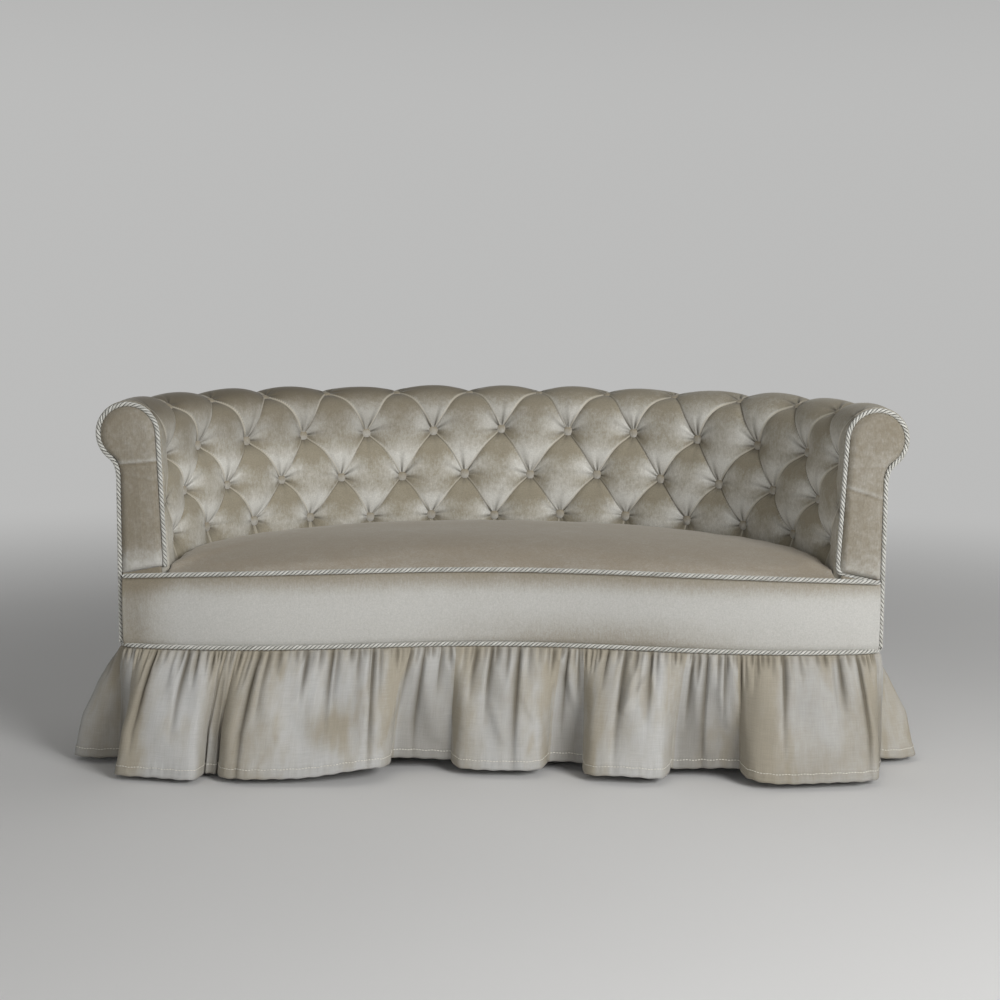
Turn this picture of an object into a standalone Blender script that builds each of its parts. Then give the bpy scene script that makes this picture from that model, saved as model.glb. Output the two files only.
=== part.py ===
"""Kidney sofa: a deep-buttoned, scroll-topped curved back round a sprung kidney seat with a gathered skirt.

Metres, +Z up, front towards -Y, standing on Z = 0 with the middle of its box on the Z axis.
"""
import math

import bpy
import bmesh
import numpy as np

for old in list(bpy.data.objects):
    bpy.data.objects.remove(old, do_unlink=True)

# Plan of the body, seen from above
BODY_HALF_WIDTH = 0.740
BODY_BACK_REACH = 0.674
BODY_SQUARENESS = 2.11
ARM_END_Y = -0.321
FRONT_WAVE = 0.033
LOBE_X = 0.716 * BODY_HALF_WIDTH

# Heights
LEG_HEIGHT = 0.160
RAIL_HEIGHT = 0.095
SEAT_EDGE_Z = 0.385
SEAT_EDGE_RISE = 0.012
SEAT_CROWN = 0.043
SEAT_FALL = 0.55
ROLL_CENTRE_Z = 0.658
ROLL_RADIUS = 0.0625
HEM_Z = 0.009

# Thicknesses of the back and arms, measured inward from the outside cover
PAD_FACE = 0.100
ROLL_CENTRE_IN = 0.025
FRAME_DEPTH = 0.0325
COVER_THICK = 0.0035
HESSIAN_THICK = 0.002
TOP_RAIL_HEIGHT = 0.065
POST_WIDTH = 0.045

# Deep buttoning
COLUMNS = 13
TUFT_DEPTH = 0.024
ROW_Z = (0.437, 0.527, 0.627)

# Trims, seat and skirt
CORD_RADIUS = 0.0046
PANEL_THICK = 0.014
PANEL_INSET = 0.0105
BORDER_THICK = 0.028
BORDER_BULGE = 0.005
SKIRT_THICK = 0.003
FOLD_PROUD = 0.078
FOLD_BACK = 0.014
FOLD_SIDE = 0.014
FOLD_WIDTH = 0.050
FOLD_SPACE = 0.0150
FRONT_FOLDS = ((0.982, 0.636), (0.457, 0.226), (0.130, -0.133), (-0.295, -0.743), (-0.775, -0.985))
WEB_WIDTH = 0.050
WEB_THICK = 0.0022
SPRING_RADIUS = 0.042
SPRING_WAIST = 0.030
SPRING_WIRE = 0.0020
SPRING_TURNS = 5
LEG_RADIUS = 0.026

# Clearance left between pieces that touch
GAP = 0.0003

# Levels that follow from the heights
RAIL_TOP = LEG_HEIGHT + RAIL_HEIGHT
BODY_BOTTOM = RAIL_TOP + GAP
CORD_Z = RAIL_TOP - CORD_RADIUS - 2 * GAP
SKIRT_TOP = CORD_Z - CORD_RADIUS - 2 * GAP
ROLL_NECK_Z = ROLL_CENTRE_Z - 0.91 * ROLL_RADIUS
TOP_RAIL_TOP = ROLL_CENTRE_Z - 0.08 * ROLL_RADIUS
TOP_RAIL_BOTTOM = TOP_RAIL_TOP - TOP_RAIL_HEIGHT
FRAME_OUT = -(COVER_THICK + 3 * GAP)
FRAME_IN = FRAME_OUT - FRAME_DEPTH
PAD_BACK = FRAME_IN - HESSIAN_THICK - 3 * GAP
PANEL_BOTTOM = SEAT_EDGE_Z + 0.025


def arc_lengths(points):
    steps = np.hypot(np.diff(points[:, 0]), np.diff(points[:, 1]))
    return np.concatenate([[0.0], np.cumsum(steps)])


def side_normals(points, closed):
    if closed:
        ahead = np.roll(points, -1, axis=0) - np.roll(points, 1, axis=0)
    else:
        ahead = np.gradient(points, axis=0)
    ahead /= np.linalg.norm(ahead, axis=1)[:, None]
    return np.stack([-ahead[:, 1], ahead[:, 0]], axis=1)


# The body line: from the left arm front, round the back, to the right arm front
def body_line(count=1601, straight=0.060):
    turn = np.linspace(math.pi, 0.0, count)
    c = np.cos(turn)
    s = np.sin(turn)
    power = 2.0 / BODY_SQUARENESS
    x = BODY_HALF_WIDTH * np.sign(c) * np.abs(c) ** power
    y = BODY_BACK_REACH * np.abs(s) ** power + ARM_END_Y
    points = np.stack([x, y], axis=1)
    normals = side_normals(points, closed=False)
    normals[0] = (-1.0, 0.0)
    normals[-1] = (1.0, 0.0)
    lead = np.array([-normals[0, 1], normals[0, 0]])
    tail = np.array([normals[-1, 1], -normals[-1, 0]])
    points = np.vstack([points[0] + lead * straight, points, points[-1] + tail * straight])
    normals = np.vstack([normals[0], normals, normals[-1]])
    along = arc_lengths(points - PAD_FACE * normals)
    return points, normals, along - along[-1] / 2, along[-1] / 2 - straight


LINE, LINE_OUT, LINE_AT, HALF = body_line()
PITCH = 2 * HALF / COLUMNS

# Stations along the body line that every piece of the back and arms shares
STATIONS = np.linspace(-HALF, HALF, 4 * COLUMNS + 1)
BODY_AT = np.concatenate([LINE_AT[:1], STATIONS, LINE_AT[-1:]])
BODY_XY = np.stack([np.interp(BODY_AT, LINE_AT, LINE[:, k]) for k in (0, 1)], axis=1)
BODY_OUT = np.stack([np.interp(BODY_AT, LINE_AT, LINE_OUT[:, k]) for k in (0, 1)], axis=1)


# A point of the body: ell runs along the button face, u outward from the outside cover
def body(ell, u):
    x = np.interp(ell, BODY_AT, BODY_XY[:, 0]) + u * np.interp(ell, BODY_AT, BODY_OUT[:, 0])
    y = np.interp(ell, BODY_AT, BODY_XY[:, 1]) + u * np.interp(ell, BODY_AT, BODY_OUT[:, 1])
    return x, y


# The ends of a stretch with the shared stations between them
def stretch(first, last, shared):
    inside = shared[(shared > first + 1e-6) & (shared < last - 1e-6)]
    return np.concatenate([[first], inside, [last]])


def body_height(u, z, ell):
    x, y = body(ell, u)
    return (x, y, z)


# The front of the seat: a wave with a lobe before each arm and a dip in the middle
CORNER_X, CORNER_Y = body(HALF + PANEL_THICK, -PANEL_INSET - GAP)
FRONT_Y = CORNER_Y - FRONT_WAVE * math.cos(math.pi * CORNER_X / LOBE_X)


def front_y(x):
    return FRONT_Y + FRONT_WAVE * np.cos(math.pi * x / LOBE_X)


def front_point(x, out):
    slope = -FRONT_WAVE * math.pi / LOBE_X * math.sin(math.pi * x / LOBE_X)
    size = math.hypot(slope, 1.0)
    return x + out * slope / size, front_y(x) - out / size


# The closed line round the base from the middle of the back, with its two front corners eased
def base_line(count=1200, thin=10, ease=200):
    ells = np.linspace(0.0, HALF + PANEL_THICK, 350)
    right = np.stack(body(ells, 0.0), axis=1)
    left = np.stack(body(-ells[::-1], 0.0), axis=1)
    xs = np.linspace(CORNER_X, -CORNER_X, 301)
    loop = np.vstack([right, np.stack([xs, front_y(xs)], axis=1), left])
    at = arc_lengths(loop)
    even = np.linspace(0.0, at[-1], count, endpoint=False)
    loop = np.stack([np.interp(even, at, loop[:, 0]), np.interp(even, at, loop[:, 1])], axis=1)
    for _ in range(ease):
        loop = (np.roll(loop, 1, axis=0) + 2 * loop + np.roll(loop, -1, axis=0)) / 4
    return loop[::thin], side_normals(loop, closed=True)[::thin]


BASE, BASE_OUT = base_line()
BASE_AT = arc_lengths(np.vstack([BASE, BASE[:1]]))
ROUND = BASE_AT[-1]


def base(m, out):
    m = np.mod(m, ROUND)
    ring = np.vstack([BASE, BASE[:1]])
    side = np.vstack([BASE_OUT, BASE_OUT[:1]])
    x = np.interp(m, BASE_AT, ring[:, 0]) + out * np.interp(m, BASE_AT, side[:, 0])
    y = np.interp(m, BASE_AT, ring[:, 1]) + out * np.interp(m, BASE_AT, side[:, 1])
    return x, y


# Where the base line turns the right-hand corner; the left-hand one lies as far the other way
M_RIGHT = BASE_AT[int(np.argmin((BASE[:, 0] - CORNER_X) ** 2 + (BASE[:, 1] - CORNER_Y) ** 2))]
M_LEFT = ROUND - M_RIGHT


# The visible profile of the padded back: up the inside, over the roll and under its outer side
def back_profile(count=241):
    foot = np.array([-PAD_FACE, SEAT_EDGE_Z + 2 * GAP])
    centre = np.array([-ROLL_CENTRE_IN, ROLL_CENTRE_Z])
    away = foot - centre
    reach = math.hypot(away[0], away[1])
    first = math.atan2(away[1], away[0]) - math.acos(min(1.0, ROLL_RADIUS / reach))
    first = first % (2 * math.pi)
    last = -math.asin(0.91)
    turn = np.linspace(first, last, count)
    roll = centre + ROLL_RADIUS * np.stack([np.cos(turn), np.sin(turn)], axis=1)
    rise = np.linspace(0.0, 1.0, count, endpoint=False)[:, None]
    points = np.vstack([foot + (roll[0] - foot) * rise, roll])
    return points, side_normals(points, closed=False), arc_lengths(points)


PROFILE, PROFILE_OUT, PROFILE_AT = back_profile()
CREST = PROFILE_AT[int(np.argmax(PROFILE[:, 1]))]
ROW_AT = [PROFILE_AT[int(np.argmin(np.abs(PROFILE[:260, 1] - z)))] for z in ROW_Z] + [CREST]


# Height of the padding between the buttons: nought on a button, one on the crown of a diamond
def pillow(ell, v):
    column = ell / PITCH
    row = np.interp(v, ROW_AT, [0.0, 1.0, 2.0, 3.0])
    a = np.abs(np.sin(math.pi * (column + row / 2))) ** 0.75
    b = np.abs(np.sin(math.pi * (column - row / 2))) ** 0.75
    return 0.42 * (a + b) + 0.16 * a * b


def tuft_depth(ell, v):
    fade = np.interp(v, [0.0, ROW_AT[0], ROW_AT[-1], PROFILE_AT[-1]], [0.25, 1.0, 1.0, 0.35])
    ends = np.clip((HALF - np.abs(ell)) / (0.4 * PITCH), 0.0, 1.0)
    return TUFT_DEPTH * fade * ends * (1.0 - pillow(ell, v))


def back_face(ell, v, sink=0.0):
    u = np.interp(v, PROFILE_AT, PROFILE[:, 0]) - sink * np.interp(v, PROFILE_AT, PROFILE_OUT[:, 0])
    z = np.interp(v, PROFILE_AT, PROFILE[:, 1]) - sink * np.interp(v, PROFILE_AT, PROFILE_OUT[:, 1])
    return u, z


# Materials
def material(name, colour, rough, metal=0.0):
    made = bpy.data.materials.new(name)
    made.use_nodes = True
    shader = made.node_tree.nodes["Principled BSDF"]
    shader.inputs["Base Color"].default_value = (*colour, 1.0)
    shader.inputs["Roughness"].default_value = rough
    shader.inputs["Metallic"].default_value = metal
    return made


VELVET = (0.36, 0.35, 0.29)
BEECH = (0.52, 0.36, 0.22)
JUTE = (0.47, 0.38, 0.25)
CORD = (0.45, 0.46, 0.41)
STEEL = (0.55, 0.55, 0.56)
LINING = (0.10, 0.10, 0.10)


def finish(name, verts, faces, colour, rough=0.8, metal=0.0, smooth=False):
    mesh = bpy.data.meshes.new(name)
    mesh.from_pydata([tuple(map(float, v)) for v in verts], [], faces)
    shape = bmesh.new()
    shape.from_mesh(mesh)
    bmesh.ops.recalc_face_normals(shape, faces=shape.faces)
    shape.to_mesh(mesh)
    shape.free()
    for face in mesh.polygons:
        face.use_smooth = smooth
    thing = bpy.data.objects.new(name, mesh)
    bpy.context.scene.collection.objects.link(thing)
    mesh.materials.append(material(name, colour, rough, metal))
    return thing


# A solid through a row of closed sections, each a list of the same number of points
def loft(name, sections, colour, rough=0.8, ring=False, smooth=False):
    size = len(sections[0])
    count = len(sections)
    verts = [point for section in sections for point in section]
    faces = []
    for i in range(count if ring else count - 1):
        a = i * size
        b = (i + 1) % count * size
        for j in range(size):
            k = (j + 1) % size
            faces.append((a + j, a + k, b + k, b + j))
    if not ring:
        faces.append(tuple(range(size)))
        faces.append(tuple(range((count - 1) * size, count * size)))
    return finish(name, verts, faces, colour, rough, 0.0, smooth)


# Swept along the body line: each section is a list of (u, z)
def body_sweep(name, first, last, section, colour, rough=0.8, smooth=False):
    ells = stretch(first, last, STATIONS)
    rows = [[body_height(u, z, ell) for u, z in section] for ell in ells]
    return loft(name, rows, colour, rough, smooth=smooth)


def base_stretch(first, last):
    return stretch(first, last, np.concatenate([BASE_AT[:-1] - ROUND, BASE_AT[:-1], BASE_AT + ROUND]))


# Swept along the base line: each section is a list of (out, z)
def base_sweep(name, first, last, section, colour, rough=0.8):
    rows = []
    for m in base_stretch(first, last):
        rows.append([(*base(m, out), z) for out, z in section])
    return loft(name, rows, colour, rough)


# A round cord along a path of points
def cord(name, points, closed=False, radius=CORD_RADIUS, sides=6, colour=CORD, rough=0.6):
    points = np.array(points, dtype=float)
    if closed:
        ahead = np.roll(points, -1, axis=0) - np.roll(points, 1, axis=0)
    else:
        ahead = np.gradient(points, axis=0)
    ahead /= np.linalg.norm(ahead, axis=1)[:, None]
    side = np.cross(ahead[0], (0.0, 0.0, 1.0) if abs(ahead[0][2]) < 0.9 else (0.0, 1.0, 0.0))
    rows = []
    for point, way in zip(points, ahead):
        side = side - way * side.dot(way)
        side /= np.linalg.norm(side)
        lift = np.cross(way, side)
        turns = [2 * math.pi * k / sides for k in range(sides)]
        rows.append([point + radius * (math.cos(t) * side + math.sin(t) * lift) for t in turns])
    return loft(name, rows, colour, rough, ring=closed, smooth=True)


def box_section(inner, outer, low, high):
    return [(inner, low), (outer, low), (outer, high), (inner, high)]


# Seat frame: four curved rails under the body, meeting in butt joints
RAIL_IN = FRAME_OUT - FRAME_DEPTH
RAIL = box_section(RAIL_IN, FRAME_OUT, LEG_HEIGHT, RAIL_TOP)
M_BACK = 0.30 * M_RIGHT
HALF_GAP = GAP / 2
base_sweep("front_seat_rail", M_RIGHT + HALF_GAP, M_LEFT - HALF_GAP, RAIL, BEECH)
base_sweep("right_seat_rail", M_BACK + HALF_GAP, M_RIGHT - HALF_GAP, RAIL, BEECH)
base_sweep("back_seat_rail", -M_BACK + HALF_GAP, M_BACK - HALF_GAP, RAIL, BEECH)
base_sweep("left_seat_rail", -M_RIGHT + HALF_GAP, -M_BACK - HALF_GAP, RAIL, BEECH)

# Corner blocks behind the rails, and the turned legs below them
BLOCK_IN = RAIL_IN - 0.034
BLOCK = box_section(BLOCK_IN, RAIL_IN - GAP, LEG_HEIGHT, RAIL_TOP - 0.020)
WEB_COUNT = 7
WEB_SPACING = 2 * LOBE_X / WEB_COUNT
LEG_FRONT_X = (WEB_COUNT / 2 + 0.6) * WEB_SPACING
LEG_BACK_X = (WEB_COUNT - 2) / 2 * WEB_SPACING


# Where the base line passes a given x, on its back stretch or on its front
def base_at_x(x, back):
    right = BASE[:, 0] > 0
    keep = right & ((BASE[:, 1] > ARM_END_Y + 0.1) if back else (BASE_AT[:-1] >= M_RIGHT))
    order = np.argsort(BASE[keep, 0])
    return float(np.interp(x, BASE[keep, 0][order], BASE_AT[:-1][keep][order]))


M_LEG_FRONT = base_at_x(LEG_FRONT_X, False)
M_LEG_BACK = base_at_x(LEG_BACK_X, True)
LEG_SPOTS = {
    "front_right": M_LEG_FRONT,
    "front_left": ROUND - M_LEG_FRONT,
    "back_right": M_LEG_BACK,
    "back_left": -M_LEG_BACK,
}
LEG_PROFILE = (
    (0.62, 0.00),
    (0.66, 0.05),
    (0.72, 0.45),
    (0.96, 0.60),
    (0.96, 0.66),
    (0.80, 0.70),
    (1.00, 0.84),
    (1.00, 1.00),
)
LEG_SIDES = 12
LEG_CENTRES = {}


def leg(name, x, y):
    rows = []
    for wide, high in LEG_PROFILE:
        ring = []
        for k in range(LEG_SIDES):
            turn = 2 * math.pi * k / LEG_SIDES
            ring.append(
                (
                    x + LEG_RADIUS * wide * math.cos(turn),
                    y + LEG_RADIUS * wide * math.sin(turn),
                    high * (LEG_HEIGHT - GAP),
                )
            )
        rows.append(ring)
    return loft(name, rows, BEECH, 0.45)


for place, m in LEG_SPOTS.items():
    base_sweep(place + "_block", m - 0.040, m + 0.040, BLOCK, BEECH)
    LEG_CENTRES[place] = base(m, RAIL_IN)
    leg(place + "_leg", *LEG_CENTRES[place])

# Uprights on the rails, and the curved top rail in three lengths over them
POST = box_section(FRAME_IN, FRAME_OUT, BODY_BOTTOM, TOP_RAIL_BOTTOM - GAP)
POST_SPOTS = {
    "left_arm_post": -HALF + POST_WIDTH / 2,
    "back_post_1": -0.58 * HALF,
    "back_post_2": -0.22 * HALF,
    "back_post_3": 0.22 * HALF,
    "back_post_4": 0.58 * HALF,
    "right_arm_post": HALF - POST_WIDTH / 2,
}
for place, ell in POST_SPOTS.items():
    body_sweep(place, ell - POST_WIDTH / 2, ell + POST_WIDTH / 2, POST, BEECH)
EASE = 0.25 * FRAME_DEPTH
TOP_RAIL = [
    (FRAME_IN, TOP_RAIL_BOTTOM),
    (FRAME_OUT, TOP_RAIL_BOTTOM),
    (FRAME_OUT, TOP_RAIL_TOP - EASE),
    (FRAME_OUT - EASE, TOP_RAIL_TOP),
    (FRAME_IN + EASE, TOP_RAIL_TOP),
    (FRAME_IN, TOP_RAIL_TOP - EASE),
]
JOINT = 0.58 * HALF
body_sweep("left_top_rail", -HALF, -JOINT - HALF_GAP, TOP_RAIL, BEECH)
body_sweep("back_top_rail", -JOINT + HALF_GAP, JOINT - HALF_GAP, TOP_RAIL, BEECH)
body_sweep("right_top_rail", JOINT + HALF_GAP, HALF, TOP_RAIL, BEECH)

# Hessian over the inside of the uprights
HESSIAN = box_section(FRAME_IN - GAP - HESSIAN_THICK, FRAME_IN - GAP, SEAT_EDGE_Z, TOP_RAIL_TOP - EASE)
body_sweep("back_hessian", -HALF + 0.002, HALF - 0.002, HESSIAN, JUTE, 0.95)

# Webbing under the rails, front to back and then across below it
WEB_HIGH = LEG_HEIGHT - GAP
WEB_LOW = WEB_HIGH - WEB_THICK
CROSS_HIGH = WEB_LOW - GAP
CROSS_LOW = CROSS_HIGH - WEB_THICK
WEB_GRIP = 0.5 * FRAME_DEPTH


def inner_back_y(x):
    ells = np.linspace(-HALF, HALF, 900)
    px, py = body(ells, FRAME_OUT - WEB_GRIP)
    keep = py > ARM_END_Y
    return float(np.interp(x, px[keep], py[keep]))


def inner_side_x(y):
    ells = np.linspace(0.0, HALF, 900)
    px, py = body(ells, FRAME_OUT - WEB_GRIP)
    return float(np.interp(-y, -py, px))


def slab(name, corners, low, high, colour, rough=0.95):
    rows = [[(x, y, low) for x, y in corners], [(x, y, high) for x, y in corners]]
    return loft(name, rows, colour, rough)


WEB_X = [(k - (WEB_COUNT - 1) / 2) * WEB_SPACING for k in range(WEB_COUNT)]
for number, x in enumerate(WEB_X, start=1):
    a = x - WEB_WIDTH / 2
    b = x + WEB_WIDTH / 2
    near = max(front_y(a), front_y(b)) + COVER_THICK + WEB_GRIP
    far = min(inner_back_y(a), inner_back_y(b))
    slab(f"webbing_{number}", [(a, near), (b, near), (b, far), (a, far)], WEB_LOW, WEB_HIGH, JUTE)
CROSS_Y = (FRONT_Y + 0.36 * (inner_back_y(0.0) - FRONT_Y), FRONT_Y + 0.66 * (inner_back_y(0.0) - FRONT_Y))
for number, y in enumerate(CROSS_Y, start=1):
    a = y - WEB_WIDTH / 2
    b = y + WEB_WIDTH / 2
    far = min(inner_side_x(a), inner_side_x(b))
    slab(f"cross_webbing_{number}", [(-far, a), (far, a), (far, b), (-far, b)], CROSS_LOW, CROSS_HIGH, JUTE)

# Waisted coil springs, tied down where the straps cross
SPRING_LOW = WEB_HIGH + GAP + SPRING_WIRE
SPRING_HIGH = SEAT_EDGE_Z - HESSIAN_THICK - 3 * GAP - SPRING_WIRE
SPRING_POINTS = 8


def spring(name, x, y):
    path = []
    for k in range(SPRING_TURNS * SPRING_POINTS + 1):
        part = k / (SPRING_TURNS * SPRING_POINTS)
        turn = 2 * math.pi * k / SPRING_POINTS
        wide = SPRING_WAIST + (SPRING_RADIUS - SPRING_WAIST) * (2 * part - 1) ** 2
        high = SPRING_LOW + (SPRING_HIGH - SPRING_LOW) * part
        path.append((x + wide * math.cos(turn), y + wide * math.sin(turn), high))
    return cord(name, path, radius=SPRING_WIRE, sides=4, colour=STEEL, rough=0.35)


SPRING_COUNT = 0
for y, columns in zip(CROSS_Y, (WEB_X[::2], WEB_X[1::2])):
    for x in columns:
        SPRING_COUNT += 1
        spring(f"seat_spring_{SPRING_COUNT}", x, y)
print("least gap between the coils of a spring:")
print(round((SPRING_HIGH - SPRING_LOW) / SPRING_TURNS - 2 * SPRING_WIRE, 4))


# The plan of the seat: front line, then the arm ends, then the foot of the buttoned face
def arm_end_gap(x, y):
    end_x, end_y = body(HALF, 0.0)
    ahead_x, ahead_y = body(HALF + 0.01, 0.0)
    way = np.array([ahead_x - end_x, ahead_y - end_y]) / 0.01
    return (abs(x) - end_x) * way[0] + (y - end_y) * way[1]


FRONT_X = np.linspace(-CORNER_X + GAP, CORNER_X - GAP, 37)


# The seat meets the front edge between the two corners before the arms
SEAT_END_X = abs(body(HALF, -PAD_FACE)[0]) + 0.012

# Hessian over the springs, inside the border and under the padded back
# The border is an even band between the arms and fills the corner before each arm front
def border_thickness(x):
    x0, y0 = front_point(x, 0.0)
    x1, y1 = front_point(x, -0.01)
    start = arm_end_gap(x0, y0)
    drop = (start - arm_end_gap(x1, y1)) / 0.01
    return BORDER_THICK if abs(x) < SEAT_END_X else (start - 2 * GAP) / max(drop, 0.2)


def spring_cover():
    points = []
    for x in FRONT_X[np.abs(FRONT_X) < SEAT_END_X - 0.05]:
        points.append(front_point(x, -BORDER_THICK - GAP))
    limit = HALF - POST_WIDTH
    for ell in np.linspace(limit, -limit, 41):
        points.append(body(ell, PAD_BACK - GAP))
    return points


slab("spring_hessian", spring_cover(), SEAT_EDGE_Z - HESSIAN_THICK - GAP, SEAT_EDGE_Z - GAP, JUTE)

# Front border: a padded band from arm to arm, standing on the front rail
BORDER_RISE = (0.0, 0.22, 0.5, 0.78, 1.0)
border_rows = []
for x in FRONT_X:
    inner = front_point(x, -border_thickness(x))
    row = [(*inner, SEAT_EDGE_Z), (*inner, BODY_BOTTOM)]
    for part in BORDER_RISE:
        out = BORDER_BULGE * math.sin(math.pi * part) * min(1.0, (CORNER_X - abs(x)) / 0.05)
        row.append((*front_point(x, out), BODY_BOTTOM + part * (SEAT_EDGE_Z - BODY_BOTTOM)))
    border_rows.append(row)
loft("seat_border", border_rows, VELVET, 0.85, smooth=True)

# Seat: a crowned pad over the springs that reaches the front edge and the foot of the back
SEAT_LOW = SEAT_EDGE_Z + GAP
SPINE_X = 0.42
SPINE_Y = FRONT_Y + 0.38 * (inner_back_y(0.0) - FRONT_Y)
front_edge = [front_point(x, 0.0) for x in FRONT_X[np.abs(FRONT_X) < SEAT_END_X]]
back_edge = [body(ell, -PAD_FACE - 3 * GAP) for ell in STATIONS[::-1]]
OUTLINE = np.array(front_edge + back_edge)
IS_BACK = np.arange(len(OUTLINE)) >= len(front_edge)
SPINE = np.stack([np.clip(0.62 * OUTLINE[:, 0], -SPINE_X, SPINE_X), np.full(len(OUTLINE), SPINE_Y)], axis=1)
seat_rows = []
SEAT_RINGS = ((0.0, 0.0), (0.0, 0.75), (0.02, 1.0), (0.07, 1.0), (0.2, 1.0), (0.42, 1.0), (0.72, 1.0))
for inset, lift in SEAT_RINGS:
    ring = OUTLINE + (SPINE - OUTLINE) * inset
    rise = np.where(IS_BACK, 1 - (1 - inset) ** 9, 1 - (1 - inset) ** 2.6)
    fall = 1 - SEAT_FALL * np.abs(ring[:, 0] / CORNER_X) ** 3
    height = SEAT_LOW + lift * SEAT_EDGE_RISE + SEAT_CROWN * rise * fall
    seat_rows.append([(x, y, z) for (x, y), z in zip(ring, height)])
loft("seat_pad", seat_rows, VELVET, 0.85, smooth=True)

# Buttoned back: padding and cover from arm to arm, buttons drawn in at the corners of each diamond
V_STEPS = np.concatenate(
    [
        np.linspace(0.0, ROW_AT[0], 2)[:-1],
        np.linspace(ROW_AT[0], ROW_AT[1], 5)[:-1],
        np.linspace(ROW_AT[1], ROW_AT[2], 5)[:-1],
        np.linspace(ROW_AT[2], ROW_AT[3], 5)[:-1],
        np.linspace(ROW_AT[3], PROFILE_AT[-1], 5),
    ]
)
ROLL_IN = FRAME_OUT + GAP
BACK_SIDE = [
    (ROLL_IN, ROLL_NECK_Z),
    (ROLL_IN, TOP_RAIL_TOP - EASE),
    (FRAME_OUT - EASE, TOP_RAIL_TOP + GAP),
    (FRAME_IN + EASE, TOP_RAIL_TOP + GAP),
    (PAD_BACK, TOP_RAIL_TOP - EASE),
    (PAD_BACK, SEAT_EDGE_Z + 2 * GAP),
]
pad_rows = []
for ell in STATIONS:
    row = []
    for v in V_STEPS:
        u, z = back_face(ell, v, float(tuft_depth(ell, v)))
        row.append(body_height(u, z, ell))
    row += [body_height(u, z, ell) for u, z in BACK_SIDE]
    pad_rows.append(row)
loft("buttoned_back", pad_rows, VELVET, 0.85, smooth=True)

# Outside cover: plain cloth from the neck of the roll down to the base, arm to arm
COVER = box_section(-COVER_THICK, 0.0, BODY_BOTTOM, ROLL_NECK_Z - GAP)
body_sweep("outside_cover", -HALF, HALF, COVER, VELVET, 0.85, smooth=False)


# Arm fronts: a covered panel in the shape of the scroll
def panel_outline(inset, bottom):
    centre_u = -ROLL_CENTRE_IN
    radius = ROLL_RADIUS - inset
    side = -inset - GAP
    points = [(side, bottom), (side, bottom + 0.5 * (ROLL_NECK_Z - bottom))]
    points.append((side, ROLL_NECK_Z - 0.016))
    points.append((side + 0.0035, ROLL_NECK_Z - 0.002))
    for turn in np.radians(np.linspace(-62.0, 172.0, 17)):
        points.append((centre_u + radius * math.cos(turn), ROLL_CENTRE_Z + radius * math.sin(turn)))
    for v in np.linspace(0.75 * ROW_AT[2], 0.0, 6):
        u, z = back_face(0.0, v)
        if z > bottom + 0.02:
            points.append((u + inset, z))
    foot = np.interp(bottom, PROFILE[:240, 1], PROFILE[:240, 0])
    points.append((foot + inset, bottom))
    return points


def arm_panel(name, side):
    edge = panel_outline(PANEL_INSET, PANEL_BOTTOM)
    middle_u = sum(u for u, z in edge) / len(edge)
    middle_z = sum(z for u, z in edge) / len(edge)
    rows = []
    steps = ((GAP, 1.0), (0.62 * PANEL_THICK, 1.0), (0.93 * PANEL_THICK, 0.93), (PANEL_THICK, 0.80))
    for depth, shrink in steps:
        row = []
        for u, z in edge:
            near_u = middle_u + (u - middle_u) * shrink
            near_z = middle_z + (z - middle_z) * (1 - (1 - shrink) * 0.35)
            row.append(body_height(near_u, near_z, side * (HALF + depth)))
        rows.append(row)
    return loft(name, rows, VELVET, 0.85, smooth=True)


arm_panel("left_arm_panel", -1)
arm_panel("right_arm_panel", 1)


# An outline moved outward by the same distance all round
def grown(outline, by):
    points = np.array(outline)
    ahead = np.roll(points, -1, axis=0) - points
    ahead /= np.linalg.norm(ahead, axis=1)[:, None]
    after = np.stack([ahead[:, 1], -ahead[:, 0]], axis=1)
    before = np.roll(after, 1, axis=0)
    share = 1.0 + (after * before).sum(axis=1)
    return points + by * (after + before) / share[:, None]


# Cords: round each arm panel and down the corner, along the seat edge and round the base
def arm_cord(name, side):
    edge = grown(panel_outline(PANEL_INSET, PANEL_BOTTOM), CORD_RADIUS + GAP)
    at = side * (HALF + CORD_RADIUS + 2 * GAP)
    path = [body_height(edge[0][0], BODY_BOTTOM + GAP, at)]
    path += [body_height(edge[0][0], SEAT_EDGE_Z, at)]
    path += [body_height(u, z, at) for u, z in edge[1:]]
    path.append(body_height(edge[0][0] - 2 * CORD_RADIUS - 2 * GAP, edge[-1][1], at))
    return cord(name, path)


arm_cord("left_arm_cord", -1)
arm_cord("right_arm_cord", 1)
CORD_OUT = CORD_RADIUS + 2 * GAP
cord_x = stretch(-CORNER_X + CORD_RADIUS, CORNER_X - CORD_RADIUS, FRONT_X)
cord_z = SEAT_EDGE_Z + SEAT_EDGE_RISE * np.clip((CORNER_X - 0.02 - np.abs(cord_x)) / 0.11, 0.0, 1.0)
cord("seat_edge_cord", [(*front_point(x, CORD_OUT), z) for x, z in zip(cord_x, cord_z)])
base_cord = [(*base(m, FRAME_OUT + CORD_RADIUS + 2 * GAP), CORD_Z) for m in BASE_AT[:-1]]
cord("base_cord", base_cord, closed=True)


# Skirt: gathered on the rails in four sewn lengths that hang in broad folds
def front_at(x):
    m = base_at_x(abs(x), False)
    return m if x > 0 else ROUND - m


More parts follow.
